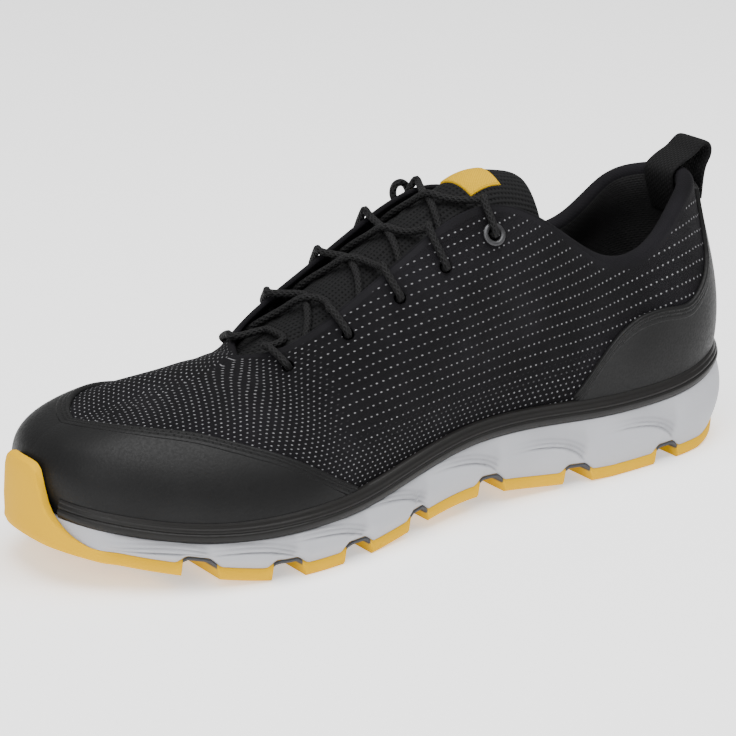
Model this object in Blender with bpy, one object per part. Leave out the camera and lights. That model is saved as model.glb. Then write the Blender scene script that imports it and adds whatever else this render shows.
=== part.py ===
"""Low safety sneaker for the left foot, standing empty on its sole.

The frame has +X from heel to toe, +Y towards the outer (lateral) side and +Z up. The origin lies on
the floor under the middle of the heel seat.

Places round the shoe are given by a station. Station 0 is the middle of the heel's back, 15 is the
middle of the toe, and each whole number is a row of the section tables. Stations above zero run up
the lateral side and those below zero run up the medial side.
"""
import math

import bmesh
import bpy
import numpy as np
from mathutils import Matrix, Vector

# Driving sizes, in metres
SOLE_LENGTH = 0.3015
BALL_WIDTH = 0.108
HEEL_SEAT = 0.051         # from the sole's back to the origin
BED_HEIGHT = 0.028        # top edge of the midsole at the heel seat
TOE_SPRING = 0.014        # lift of the tread under the tip of the toe
UPPER_HEIGHT = 0.086      # from the midsole's edge to the top of the throat
UPPER_WALL = 0.0022
COLLAR_WALL = 0.0070      # padded edge round the ankle
COLLAR_DEPTH = 0.38       # share of a rib over which the padding fades out
UPPER_INSET = 0.0040      # from the midsole's edge in to the foot of the upper
CLEARANCE = 0.0003        # between pieces that touch

RAND_HEIGHT = 0.0070
RAND_PROUD = 0.0008       # how far the rand stands out past the midsole's edge
RAND_EDGE = 0.0016        # thickness of its upper edge
RAND_END = 14.0           # station where the bumper passes in front of it
RAND_GAP = 0.05           # rows between its ends and that station
RAND_FACE = ((0.2, 0.0), (1.0, 0.25), (0.4, 0.62))   # out in RAND_PROUD, up in RAND_HEIGHT
CAP_THICKNESS = 0.0012    # toe cap and heel counter
OVERLAY_BEVEL = 0.0006

BELLY = 0.0022            # how far the midsole's side swells out
SOLE_TUCK = 0.0016        # how far the midsole's lower edge is drawn in
WEB_THICKNESS = 0.0016
PAD_THICKNESS = 0.0048
NOTCH_RISE = 0.0030       # how far the midsole arches up over a notch
GROOVE_DEPTH = 0.0012     # wave grooves in the side of the midsole
LUG_BULGE = 0.0005        # how far a lug's side stands out over its edges
BUMPER_THICKNESS = 0.0034
BUMPER_HEIGHT = 0.0440    # top of the bumper at the tip of the toe
BUMPER_START = 13.30      # station where its edge starts to climb from the joint
BUMPER_SWELL = 1.1        # rows over which it grows to its thickness
BELLY_FADE = 0.45         # rows before it over which the midsole's side flattens

INSOLE_THICKNESS = 0.0040
INSOLE_FIT = 0.0012       # between the insole and the lining
INSOLE_DISH = 0.0012      # how far its middle lies below its edges

TONGUE_THICKNESS = 0.0042
TONGUE_PADDING = 0.0075   # thickness near the tongue's top
TONGUE_GAP = 0.0010       # between its side edges and the lining

EYELET_HOLE = 0.0046
RING_HOLE = 0.0050
RING_WIDTH = 0.0020
RING_HEIGHT = 0.0012
RING_BEVEL = 0.3          # of the ring's width, on both edges of its face
RING_SIDES = 12
LACE_DIAMETER = 0.0028
LACE_LIFT = 0.0010        # between a lace and the cloth below it
LACE_SINK = 0.0008        # how far a lace's end reaches into its eyelet
LACE_STEP = 0.0080        # between the rings of points along a lace
LACE_SIDES = 6
LACE_OVER_FRONT = 0.4     # where the front lace leaves the throat's edge, in the throat's half width
LACE_OVER_TONGUE = (0.3, 0.5, 0.7)   # places of a diagonal's points on the tongue
LACE_TURNS = (0, 45, 85)  # turns in degrees of a lace's points round the throat's edge
CORD_STEP = 2.5           # between a cord's points, in diameters
LEAST_CORD_POINTS = 6
LACE_BESIDE = 0.24        # how far behind an eyelet the lace from the far side ends, in eyelet gaps

LOOP_WIDTH = 0.0170
LOOP_THICKNESS = 0.0018
LOOP_SEAT = 0.0012        # from the collar's outside to the middle of the webbing
LOOP_INNER_SEAT = 0.0042  # from the lining, which is hollow there, to the same

LAST_ROW = 15
THROAT_ROW = 10
LOOP_ROWS = 2 * LAST_ROW

# Outline of the midsole's top edge: along in sole lengths, the rest in ball widths
OUTLINE_COLUMNS = ("along", "lateral", "medial")
OUTLINE = (
    (0.000, 0.000, 0.000),
    (0.012, 0.148, -0.139),
    (0.045, 0.262, -0.250),
    (0.100, 0.328, -0.315),
    (0.175, 0.355, -0.333),
    (0.265, 0.364, -0.310),
    (0.360, 0.354, -0.278),
    (0.455, 0.367, -0.287),
    (0.550, 0.417, -0.352),
    (0.640, 0.472, -0.435),
    (0.724, 0.499, -0.481),
    (0.802, 0.463, -0.486),
    (0.876, 0.379, -0.444),
    (0.940, 0.248, -0.366),
    (0.976, 0.110, -0.250),
    (0.989, -0.074, -0.074),
)

# Heights of the sole: bed in bed heights, tread in toe springs. Below zero the floor trims it flat.
SOLE_COLUMNS = ("bed_lateral", "bed_medial", "tread")
SOLE_ROWS = (
    (1.200, 1.200, 0.60),
    (1.185, 1.185, 0.42),
    (1.120, 1.120, 0.12),
    (0.990, 1.010, -0.06),
    (0.925, 0.960, -0.05),
    (0.940, 1.010, 0.04),
    (0.995, 1.080, 0.24),
    (0.990, 1.070, 0.42),
    (0.850, 0.920, 0.21),
    (0.680, 0.740, -0.03),
    (0.630, 0.680, -0.06),
    (0.610, 0.640, 0.12),
    (0.670, 0.690, 0.41),
    (0.790, 0.800, 0.70),
    (0.890, 0.890, 0.93),
    (0.930, 0.930, 1.05),
)

# Free edge of the upper, from the collar's back to the front of the throat, for each side: along in
# sole lengths, out in ball widths, up in upper heights above the bed
RIM_COLUMNS = ("lat_along", "lat_out", "lat_up", "med_along", "med_out", "med_up")
RIM = (
    (0.035, 0.000, 0.890, 0.035, 0.000, 0.890),
    (0.040, 0.085, 0.890, 0.040, -0.085, 0.880),
    (0.060, 0.170, 0.870, 0.060, -0.170, 0.860),
    (0.103, 0.240, 0.790, 0.100, -0.240, 0.800),
    (0.160, 0.274, 0.650, 0.157, -0.265, 0.660),
    (0.233, 0.272, 0.650, 0.232, -0.262, 0.655),
    (0.316, 0.240, 0.865, 0.316, -0.232, 0.860),
    (0.410, 0.182, 0.965, 0.420, -0.185, 0.950),
    (0.535, 0.165, 0.760, 0.548, -0.190, 0.740),
    (0.660, 0.140, 0.525, 0.670, -0.175, 0.510),
    (0.710, -0.030, 0.440, 0.710, -0.030, 0.440),
)

# Crest of the vamp from the front of the throat to the toe box
RIDGE_COLUMNS = ("along", "out", "up")
RIDGE = (
    (0.710, -0.030, 0.440),
    (0.738, -0.034, 0.420),
    (0.765, -0.039, 0.400),
    (0.790, -0.046, 0.380),
    (0.813, -0.055, 0.361),
    (0.835, -0.065, 0.343),
)

# Shape of the upper's ribs: flare and lean in degrees from upright, rise and reach in rib lengths
RIB_COLUMNS = ("flare", "rise", "lean", "reach")
RIBS = (
    (14, 0.40, 8, 0.35),
    (14, 0.40, 8, 0.35),
    (12, 0.40, 6, 0.35),
    (8, 0.38, 6, 0.35),
    (4, 0.36, 8, 0.35),
    (2, 0.36, 14, 0.35),
    (2, 0.36, 24, 0.34),
    (2, 0.36, 40, 0.33),
    (4, 0.34, 52, 0.33),
    (8, 0.34, 62, 0.34),
    (12, 0.34, 88, 0.36),
    (14, 0.37, 90, 0.40),
    (15, 0.42, 90, 0.44),
    (16, 0.49, 90, 0.49),
    (17, 0.55, 90, 0.52),
    (17, 0.58, 90, 0.54),
)

# Upper edges of the overlays, as shares of the ribs that they cross
CAP_EDGE_COLUMNS = ("station", "share")
CAP_EDGE = (
    (8.95, 0.090),
    (9.50, 0.230),
    (10.00, 0.320),
    (10.50, 0.400),
    (11.00, 0.465),
    (11.70, 0.535),
    (12.30, 0.575),
    (13.20, 0.610),
    (14.00, 0.635),
    (15.00, 0.650),
)
COUNTER_EDGE_COLUMNS = ("station", "share")
COUNTER_EDGE = (
    (0.00, 0.960),
    (1.45, 0.950),
    (1.65, 0.800),
    (1.90, 0.620),
    (2.30, 0.520),
    (2.80, 0.475),
    (3.20, 0.500),
    (3.70, 0.580),
    (4.20, 0.620),
    (4.50, 0.585),
    (4.75, 0.500),
    (5.00, 0.345),
    (5.25, 0.180),
    (5.45, 0.090),
)

# Lugs of the tread, from the heel: rear and front edge in sole lengths
LUG_COLUMNS = ("rear", "front")
LUG_REAR_SLOPE = 0.03     # in rows, along the lug's nearly square rear
LUG_FRONT_CHAMFER = 0.08  # in rows, along its chamfered front
LUG_GROOVES = ((0.33, 0.37), (0.63, 0.67))   # split each lug: shares of the sole's width
GROOVE_SLOPE = 0.012
GROOVE_ROWS = (1.2, 13.9)
LUGS = (
    (0.000, 0.126),
    (0.160, 0.275),
    (0.310, 0.411),
    (0.444, 0.538),
    (0.563, 0.635),
    (0.671, 0.737),
    (0.773, 0.842),
    (0.875, 1.000),
)

# Upper edge of the bumper, up to where it is level: station, and share of its height over the joint
BUMPER_EDGE_COLUMNS = ("station", "share")
BUMPER_EDGE = (
    (13.30, 0.00),
    (13.90, 0.13),
    (14.22, 0.30),
    (14.40, 0.55),
    (14.54, 1.00),
)

# Sections of the tongue from its buried front to its top: station and share of the ribs where its
# side edges lie on the lining, middle along in sole lengths and up in upper heights, share of padding
TONGUE_COLUMNS = ("station", "share", "along", "up", "pad")
TONGUE = (
    (10.6, 0.80, 0.740, 0.340, 0.0),
    (9.8, 0.80, 0.695, 0.415, 0.0),
    (9.2, 0.80, 0.640, 0.530, 0.0),
    (8.4, 0.80, 0.560, 0.700, 0.2),
    (7.6, 0.80, 0.480, 0.865, 0.5),
    (6.9, 0.83, 0.410, 1.000, 1.0),
    (6.4, 0.88, 0.362, 1.062, 1.0),
    (6.0, 0.94, 0.322, 1.050, 0.7),
)

# Eyelets, front to back: station and share on the ribs of both sides
EYELET_COLUMNS = ("station", "share")
EYELETS = (
    (9.34, 0.87),
    (8.56, 0.87),
    (8.02, 0.85),
    (7.52, 0.83),
    (6.88, 0.87),
)

# Middle line of the pull loop above the collar, from its inside to its outside: back from the
# collar's edge in heel seats, up from it in upper heights
LOOP_COLUMNS = ("back", "up")
LOOP = (
    (-0.188, -0.030),
    (-0.168, 0.033),
    (-0.062, 0.070),
    (0.028, 0.095),
    (0.115, 0.131),
    (0.178, 0.115),
    (0.174, 0.066),
    (0.126, 0.008),
)

# Small loop of lace left standing at the medial top eyelet, from one side of the lace there round to
# its other side: towards the toe, out and up, in loop sizes
LACE_LOOP_SIZE = 0.0070
LACE_LOOP_COLUMNS = ("ahead", "out", "up")
LACE_LOOP = (
    (0.25, 0.00, 0.00),
    (0.45, 0.06, 0.17),
    (0.50, 0.14, 0.48),
    (0.34, 0.21, 0.84),
    (0.00, 0.24, 0.98),
    (-0.34, 0.21, 0.84),
    (-0.50, 0.14, 0.48),
    (-0.45, 0.06, 0.17),
    (-0.25, 0.00, 0.00),
)

UPPER_STATIONS_PER_ROW = 3
TONGUE_ROWS = 18
UPPER_SHARES = (0.0, 0.10, 0.25, 0.42, 0.60, 0.77, 0.90, 1.0)
LINING_SHARES = (0.0, 0.30, 0.65, 0.87, 1.0)
OVERLAY_SHARES = (0.0, 0.22, 0.46, 0.72, 0.93, 1.0)
OVERLAY_GAP = 0.0005      # between the upper and its overlays
OVERLAY_MARGIN = 0.12     # rows by which an overlay's end falls short of its edge's table
LEAST_OVERLAY = 0.02      # least height of an overlay, in rib lengths
COLLAR_END = 5.2          # row where the collar's padding starts to fade out
COLLAR_FADE = 1.6         # rows over which it does
COUNTER_STRIP = (0.22, 0.42, 0.52, 0.64, 0.80)   # stations across the edge of the counter's strip
COUNTER_FIRST = 1.1
EDGE_ROUNDING = (45.0, 90.0, 135.0)
SOLE_STATIONS_PER_ROW = 2
SOLE_LEAST_STEP = 0.32    # least rows between a lug's edge and an even station
SIDE_HEIGHTS = (1.0, 0.88, 0.66, 0.42, 0.18, 0.0)   # of points down the midsole's side
NOTCH_SPREAD = 1.6        # how far a notch's arch reaches, in half notches
WAVE_SWEEP = 1.5          # rows by which a wave groove sweeps forward as it rises
WAVE_WIDTH = 0.22         # rows
WAVE_TOP = 1.15           # share of the side's height at which the grooves end
BUMPER_INSIDE = (0.0, 0.35, 0.7, 1.0)   # heights of points up the inside of the bumper
BUMPER_OUTSIDE = (0.93, 0.68, 0.42, 0.16)     # and down its outside
INSOLE_SHARES = (0.0, 0.3, 0.7, 1.0)          # across the insole
TONGUE_SIDES = (1, 0.8, 0.5, 0.2, -0.2, -0.5, -0.8, -1)
TONGUE_LEAST_EDGE = 0.25  # least thickness of the tongue's side edges, as a share of its middle
THROAT_SIDES = (0.2, 0.95)   # between which the throat's edge lies over the tongue
LOOP_SEWN_INSIDE = 0.80   # shares of the rib at the back where the pull loop is sewn on
LOOP_SEWN_OUTSIDE = 0.84


def column(table, columns, name):
    """One named column of a table, as numbers."""
    place = columns.index(name)
    return np.array([row[place] for row in table], float)


def curve_through(points, closed=False):
    """Smooth curve whose parameter is the row number of the points that it runs through."""
    values = np.asarray(points, float)
    count = len(values)
    matrix = np.zeros((count, count))
    target = np.zeros_like(values)
    for row in range(count):
        before, after = row - 1, row + 1
        if closed:
            before, after = before % count, after % count
            matrix[row, [before, row, after]] += (1, 4, 1)
            target[row] = 3 * (values[after] - values[before])
        elif row in (0, count - 1):
            inner = 1 if row == 0 else count - 2
            matrix[row, [row, inner]] = (2, 1)
            target[row] = 3 * (values[inner] - values[row]) * (1 if row == 0 else -1)
        else:
            matrix[row, [before, row, after]] = (1, 4, 1)
            target[row] = 3 * (values[after] - values[before])
    slopes = np.linalg.solve(matrix, target)

    def at(place):
        place = np.asarray(place, float)
        place = place % count if closed else np.clip(place, 0, count - 1)
        low = np.floor(place).astype(int)
        if not closed:
            low = np.minimum(low, count - 2)
        part = place - low
        low = low % count
        high = (low + 1) % count
        if values.ndim > 1:
            part = part[..., None]
        return ((2 * part ** 3 - 3 * part ** 2 + 1) * values[low]
                + (part ** 3 - 2 * part ** 2 + part) * slopes[low]
                + (3 * part ** 2 - 2 * part ** 3) * values[high]
                + (part ** 3 - part ** 2) * slopes[high])
    return at


def round_the_shoe(table, columns, lateral, medial):
    """Closed curve through a lateral column and, back along the other side, a medial column."""
    there = column(table, columns, lateral)
    back = column(table, columns, medial)[-2:0:-1]
    return curve_through(np.concatenate([there, back]), closed=True)


def soft_step(value):
    """Rises smoothly from 0 to 1 while its value does."""
    value = np.clip(value, 0, 1)
    return value * value * (3 - 2 * value)


def unit(vectors):
    return vectors / np.linalg.norm(vectors, axis=-1, keepdims=True)


def stack(x, y, z):
    return np.stack(np.broadcast_arrays(x, y, z), -1)


outline_along = round_the_shoe(OUTLINE, OUTLINE_COLUMNS, "along", "along")
outline_out = round_the_shoe(OUTLINE, OUTLINE_COLUMNS, "lateral", "medial")
bed_share = round_the_shoe(SOLE_ROWS, SOLE_COLUMNS, "bed_lateral", "bed_medial")
tread_share = round_the_shoe(SOLE_ROWS, SOLE_COLUMNS, "tread", "tread")
rib_columns = {name: round_the_shoe(RIBS, RIB_COLUMNS, name, name) for name in RIB_COLUMNS}


def outline(station):
    """Plan point of the midsole's top edge."""
    return np.stack([outline_along(station) * SOLE_LENGTH - HEEL_SEAT,
                     outline_out(station) * BALL_WIDTH], -1)


def outward(station):
    """Plan direction that points out of the shoe at a station."""
    step = 0.01
    run = unit(outline(np.asarray(station) + step) - outline(np.asarray(station) - step))
    return np.stack([-run[..., 1], run[..., 0]], -1)


def edge_point(station, out, height):
    """Point at a distance outside the midsole's top edge, at a height."""
    plan = outline(station) + outward(station) * np.asarray(out)[..., None]
    return stack(plan[..., 0], plan[..., 1], height)


def bed(station):
    """Height of the midsole's top edge."""
    return bed_share(station) * BED_HEIGHT


def tread(station):
    """Height of the tread, flat on the floor at heel and forefoot."""
    return np.maximum(tread_share(station), 0) * TOE_SPRING


def rim_curve():
    """Free edge of the upper from the medial front of the throat, round the heel, to the lateral."""
    def side(names):
        along, out, up = (column(RIM, RIM_COLUMNS, name) for name in names)
        return np.stack([along * SOLE_LENGTH - HEEL_SEAT, out * BALL_WIDTH,
                         up * UPPER_HEIGHT + BED_HEIGHT], -1)
    medial = side(("med_along", "med_out", "med_up"))[:0:-1]
    lateral = side(("lat_along", "lat_out", "lat_up"))
    return curve_through(np.concatenate([medial, lateral]))


def ridge_curve():
    """Crest of the vamp, from the throat to the toe."""
    along, out, up = (column(RIDGE, RIDGE_COLUMNS, name) for name in RIDGE_COLUMNS)
    return curve_through(np.stack([along * SOLE_LENGTH - HEEL_SEAT, out * BALL_WIDTH,
                                   up * UPPER_HEIGHT + BED_HEIGHT], -1))


rim = rim_curve()
ridge = ridge_curve()


def wrap(station):
    """The same station between the middle of the toe on the medial side and on the lateral side."""
    return (np.asarray(station, float) + LAST_ROW) % LOOP_ROWS - LAST_ROW


def top_point(station):
    """Upper end of a rib: on the free edge, or on the crest in front of the throat."""
    row = np.abs(station)
    free = rim(np.clip(station, -THROAT_ROW, THROAT_ROW) + THROAT_ROW)
    crest = ridge(np.maximum(row - THROAT_ROW, 0))
    return np.where((row < THROAT_ROW)[..., None], free, crest)


def ridge_slope(station):
    """Rise of the crest for each metre towards the toe."""
    step = 0.02
    place = np.clip(np.abs(station) - THROAT_ROW, step, LAST_ROW - THROAT_ROW - step)
    run = ridge(place + step) - ridge(place - step)
    return run[..., 2] / run[..., 0]


def skin(station, share):
    """Point on the outside of the upper: station round the shoe, share 0 at the sole to 1 on top."""
    station = wrap(station)
    foot = edge_point(station, np.full(station.shape, -UPPER_INSET), bed(station) + CLEARANCE)
    top = top_point(station)
    length = np.linalg.norm(top - foot, axis=-1)
    out = outward(station)
    flare, lean = (np.radians(rib_columns[name](station)) for name in ("flare", "lean"))
    rise, reach = (rib_columns[name](station) * length for name in ("rise", "reach"))
    start = stack(out[..., 0] * np.sin(flare), out[..., 1] * np.sin(flare), np.cos(flare))
    on_crest = soft_step((np.abs(station) - THROAT_ROW + 1))
    tilt = np.cos(lean) - on_crest * out[..., 0] * ridge_slope(station)
    finish = stack(-out[..., 0] * np.sin(lean), -out[..., 1] * np.sin(lean), tilt)
    first = foot + start * rise[..., None]
    second = top - finish * reach[..., None]
    part = np.asarray(share, float)[..., None]
    rest = 1 - part
    return (rest ** 3 * foot + 3 * rest ** 2 * part * first
            + 3 * rest * part ** 2 * second + part ** 3 * top)


def skin_normal(station, share):
    """Direction out of the upper's surface."""
    station, share = np.broadcast_arrays(np.asarray(station, float), np.asarray(share, float))
    step = 0.01
    low, high = np.clip(share - step, 0, 1), np.clip(share + step, 0, 1)
    up = skin(station, high) - skin(station, low)
    round_ = skin(station + step, share) - skin(station - step, share)
    normal = np.cross(up, round_)
    slope = ridge_slope(wrap(station))
    crest = stack(-slope, 0 * slope, 1 + 0 * slope)
    on_crest = (np.abs(wrap(station)) > THROAT_ROW - step) & (share > 1 - step)
    return unit(np.where(on_crest[..., None], crest, normal))


def off_skin(station, share, distance):
    """Point at a distance outside the upper's surface."""
    station, share = np.broadcast_arrays(np.asarray(station, float), np.asarray(share, float))
    return skin(station, share) + skin_normal(station, share) * np.asarray(distance)[..., None]


def wall(station, share):
    """Thickness of the upper: thin cloth, padded towards the collar's edge."""
    round_collar = 1 - soft_step((np.abs(wrap(station)) - COLLAR_END) / COLLAR_FADE)
    near_edge = soft_step((share - 1 + COLLAR_DEPTH) / COLLAR_DEPTH)
    return UPPER_WALL + (COLLAR_WALL - UPPER_WALL) * round_collar * near_edge


def share_at(station, height):
    """Share of a rib at which it has risen to a height above its foot."""
    shares = np.linspace(0, 1, 201)
    found = []
    for place in np.atleast_1d(station):
        line = skin(np.full(shares.shape, place), shares)
        rise = np.maximum.accumulate(line[:, 2] - line[0, 2])
        found.append(np.interp(height, rise, shares))
    return np.array(found)


def station_at(along):
    """Lateral station whose edge point lies at a share of the sole's length."""
    stations = np.linspace(0, LAST_ROW, 1501)
    return float(np.interp(along, outline_along(stations), stations))


def material(name, colour, roughness, metallic=0.0):
    """Plain finish of one sub-part."""
    made = bpy.data.materials.new(name)
    made.use_nodes = True
    shader = made.node_tree.nodes["Principled BSDF"]
    shader.inputs["Base Color"].default_value = (*colour, 1)
    shader.inputs["Roughness"].default_value = roughness
    shader.inputs["Metallic"].default_value = metallic
    made.diffuse_color = (*colour, 1)
    return made


def add_sheet(mesh, rows):
    """Quads between neighbouring rows of points."""
    made = [[mesh.verts.new(point) for point in row] for row in rows]
    for first, second in zip(made, made[1:]):
        for a, b, c, d in zip(first, first[1:], second[1:], second):
            mesh.faces.new((a, b, c, d))


def add_object(name, mesh, finish, sharp=35.0):
    """New object from a bmesh, shaded smooth apart from its sharp edges."""
    data = bpy.data.meshes.new(name)
    mesh.to_mesh(data)
    mesh.free()
    data.materials.append(finish)
    data.shade_smooth()
    data.set_sharp_from_angle(angle=math.radians(sharp))
    made = bpy.data.objects.new(name, data)
    bpy.context.scene.collection.objects.link(made)
    return made


def closed_solid(name, sheets, finish):
    """One closed body from sheets whose edges lie on each other."""
    mesh = bmesh.new()
    for rows in sheets:
        add_sheet(mesh, rows)
    bmesh.ops.remove_doubles(mesh, verts=mesh.verts, dist=1e-6)
    bmesh.ops.dissolve_degenerate(mesh, dist=1e-7, edges=mesh.edges)
    bmesh.ops.triangulate(mesh, faces=mesh.faces)
    bmesh.ops.recalc_face_normals(mesh, faces=mesh.faces)
    return add_object(name, mesh, finish)


def tube(name, points, diameter, finish):
    """Round cord with filled ends along a smooth curve through its route's points."""
    route = curve_through(points)
    spacing = np.linspace(0, len(points) - 1, 200)
    line = route(spacing)
    run = np.concatenate([[0], np.cumsum(np.linalg.norm(np.diff(line, axis=0), axis=1))])
    count = max(LEAST_CORD_POINTS, int(run[-1] / (CORD_STEP * diameter)) + 1)
    places = np.interp(np.linspace(0, run[-1], count), run, spacing)
    data = bpy.data.curves.new(name, "CURVE")
    data.dimensions = "3D"
    data.bevel_depth = diameter / 2
    data.bevel_resolution = 2
    data.use_fill_caps = True
    data.materials.append(finish)
    spline = data.splines.new("POLY")
    spline.points.add(count - 1)
    for point, place in zip(spline.points, places):
        point.co = (*route(place), 1)
    made = bpy.data.objects.new(name, data)
    bpy.context.scene.collection.objects.link(made)
    return made


def across(lateral, medial, shares):
    """Points on the straight line over the sole from its lateral to its medial side."""
    return [lateral + (medial - lateral) * share for share in shares]


def upper_stations():
    """Stations of the upper's ribs on the lateral side, from heel to toe."""
    return np.linspace(0, LAST_ROW, LAST_ROW * UPPER_STATIONS_PER_ROW + 1)


def upper_rows(side):
    """Rows of points over one side of the upper: up its outside, over its edge and up its inside."""
    rows = []
    for station in side * upper_stations():
        outer, inner = np.array(UPPER_SHARES), np.array(LINING_SHARES)
        outside = skin(np.full(outer.shape, station), outer)
        place = np.full(inner.shape, station)
        inside = off_skin(place, inner, -wall(place, inner))
        middle, half = (outside[-1] + inside[-1]) / 2, (outside[-1] - inside[-1]) / 2
        along = ridge(0.0) - ridge(0.05) if abs(station) >= THROAT_ROW else outside[-1] - outside[-2]
        along = unit(along - half * np.dot(along, half) / np.dot(half, half)) * np.linalg.norm(half)
        edge = [middle + half * math.cos(math.radians(turn)) + along * math.sin(math.radians(turn))
                for turn in EDGE_ROUNDING]
        rows.append((outside, edge, inside))
    return rows


def make_upper(finish):
    """Hollow upper: open at the collar and throat, and underneath where the sole closes it."""
    sheets = []
    open_count = THROAT_ROW * UPPER_STATIONS_PER_ROW + 1
    for side in (1, -1):
        rows = upper_rows(side)
        outside, _, inside = zip(*rows)
        over = [[outer[-1], *edge, inner[-1]] for outer, edge, inner in rows[:open_count]]
        under = [[outer[0], inner[0]] for outer, _, inner in rows]
        sheets += [outside, inside, over, under]
    return closed_solid("upper", sheets, finish)


def make_overlay(name, stations, low, high, finish):
    """Overlay on the upper's surface between two shares of each rib, with a bevelled edge."""
    rows = []
    count = len(OVERLAY_SHARES)
    for station, first, last in zip(stations, low, high):
        share = first + (last - first) * np.array(OVERLAY_SHARES)
        place = np.full(share.shape, station)
        outside = off_skin(place, share, np.full(share.shape, OVERLAY_GAP + CAP_THICKNESS))
        inside = off_skin(place, share, np.full(share.shape, OVERLAY_GAP))
        outside[-1] -= skin_normal(place[-1:], share[-1:])[0] * OVERLAY_BEVEL
        rows.append([*outside, *inside[::-1], outside[0]])
    ends = [list(zip(row[:count], row[2 * count - 1:count - 1:-1])) for row in (rows[0], rows[-1])]
    return closed_solid(name, [rows, *ends], finish)


def edge_share(table, columns, station):
    """Height of an overlay's edge at a station, as a share of the rib."""
    return np.interp(np.abs(station), column(table, columns, "station"), column(table, columns, "share"))


def make_toe_cap(finish):
    """Moulded cap over the toe, from the top of the rand to its edge across the vamp."""
    even = upper_stations()
    first = CAP_EDGE[0][0] + OVERLAY_MARGIN
    half = np.concatenate([[first], even[even > first + OVERLAY_MARGIN]])
    stations = np.concatenate([half, -half[-2::-1]])
    low = share_at(stations, RAND_HEIGHT + 2 * CLEARANCE)
    high = edge_share(CAP_EDGE, CAP_EDGE_COLUMNS, stations)
    return make_overlay("toe_cap", stations, low, np.maximum(high, low + LEAST_OVERLAY), finish)


def make_heel_counter(finish):
    """Counter round the heel, with a narrow strip up its back."""
    even = upper_stations()
    last = COUNTER_EDGE[-1][0] - OVERLAY_MARGIN
    beyond = even[(even > COUNTER_FIRST) & (even < last - OVERLAY_MARGIN)]
    half = np.concatenate([[0.0], COUNTER_STRIP, [COUNTER_FIRST], beyond, [last]])
    stations = np.concatenate([-half[:0:-1], half])
    low = share_at(stations, RAND_HEIGHT + 2 * CLEARANCE)
    high = edge_share(COUNTER_EDGE, COUNTER_EDGE_COLUMNS, stations)
    return make_overlay("heel_counter", stations, low, np.maximum(high, low + LEAST_OVERLAY), finish)


def rand_row(station, share):
    """Section of the rand: its foot, its swelling face, its upper edge and its back."""
    here = np.array(station)
    foot = float(bed(here)) + CLEARANCE
    back = [off_skin(station, part * share, CLEARANCE) for part in (0.0, 0.5, 1.0)]
    upper_edge = off_skin(station, share, CLEARANCE + RAND_EDGE)
    face = [edge_point(here, np.array(RAND_PROUD * out), foot + RAND_HEIGHT * up)
            for out, up in RAND_FACE]
    return [back[0], *face, upper_edge, back[2], back[1], back[0]]


def make_rand(finish):
    """Rubber band over the joint of upper and midsole, from one side of the bumper to the other."""
    even = upper_stations()
    half = np.concatenate([even[even < RAND_END - OVERLAY_MARGIN], [RAND_END - RAND_GAP]])
    stations = np.concatenate([-half[:0:-1], half])
    rows = [rand_row(station, share)
            for station, share in zip(stations, share_at(stations, RAND_HEIGHT))]
    caps = []
    for row in (rows[0], rows[-1]):
        caps += [[[row[0], row[1]], [row[6], row[2]]], [[row[6], row[2]], [row[6], row[3]]],
                 [[row[6], row[3]], [row[5], row[4]]]]
    return closed_solid("rand", [rows, *caps], finish)


def lug_stations():
    """Rear and front station of each lug."""
    return [(station_at(rear), station_at(front)) for rear, front in LUGS]


def notch_rise(station):
    """Share of the full notch height at a station, 1 between two lugs."""
    row = np.abs(wrap(station))
    rise = np.zeros(np.shape(row))
    for (_, rear), (front, _) in zip(lug_stations(), lug_stations()[1:]):
        middle, half = (rear + front) / 2, (front - rear) / 2
        rise = np.maximum(rise, np.clip(NOTCH_SPREAD - np.abs(row - middle) / half, 0, 1))
    return soft_step(rise)


def web_top(station):
    """Height of the joint between midsole and outsole."""
    return tread(station) + PAD_THICKNESS + notch_rise(station) * NOTCH_RISE


def sole_stations():
    """Stations of the sole on one side: even steps, the lugs' edges and those of the bumper's edge."""
    even = list(np.linspace(0, LAST_ROW, LAST_ROW * SOLE_STATIONS_PER_ROW + 1))
    toe = list(column(BUMPER_EDGE, BUMPER_EDGE_COLUMNS, "station"))
    ends = []
    for rear, front in lug_stations():
        ends += [rear, rear + LUG_REAR_SLOPE, front - LUG_FRONT_CHAMFER, front]
    fixed = sorted(place for place in ends + toe if 0 < place < LAST_ROW)
    spaced = [place for place in even if min(abs(place - other) for other in fixed) > SOLE_LEAST_STEP]
    return np.unique([0.0, *fixed, *spaced, float(LAST_ROW)])


def wave(station, up):
    """Depth of the wave grooves at a height of the midsole's side, 0 at its foot to 1 on top."""
    row = np.abs(wrap(station))
    depth = 0.0
    for (_, rear), (front, _) in zip(lug_stations(), lug_stations()[1:]):
        place = (rear + front) / 2 + WAVE_SWEEP * soft_step(up) * up
        depth = max(depth, float(np.exp(-((row - place) / WAVE_WIDTH) ** 2)))
    return depth * GROOVE_DEPTH * float(np.clip(WAVE_TOP - up, 0, 1))


def midsole_out(station, up):
    """How far the midsole's side stands out, at a share of its height."""
    tuck = SOLE_TUCK * (1 - up) ** 2
    shown = 1 - soft_step((abs(float(wrap(station))) - BUMPER_START) / BELLY_FADE + 1)
    return shown * (BELLY * math.sin(math.pi * (1 - up)) - tuck - wave(station, up))


def midsole_side(station):
    """Points down the midsole's side at a station."""
    here = np.array(station)
    high, low = float(bed(here)), float(web_top(here)) + CLEARANCE
    return [edge_point(here, np.array(midsole_out(station, up)), low + (high - low) * up)
            for up in SIDE_HEIGHTS]


def both_sides(half):
    """The stations of one side, then those of the other back to the start."""
    return np.concatenate([half, -half[-2:0:-1], half[:1]])


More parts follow.
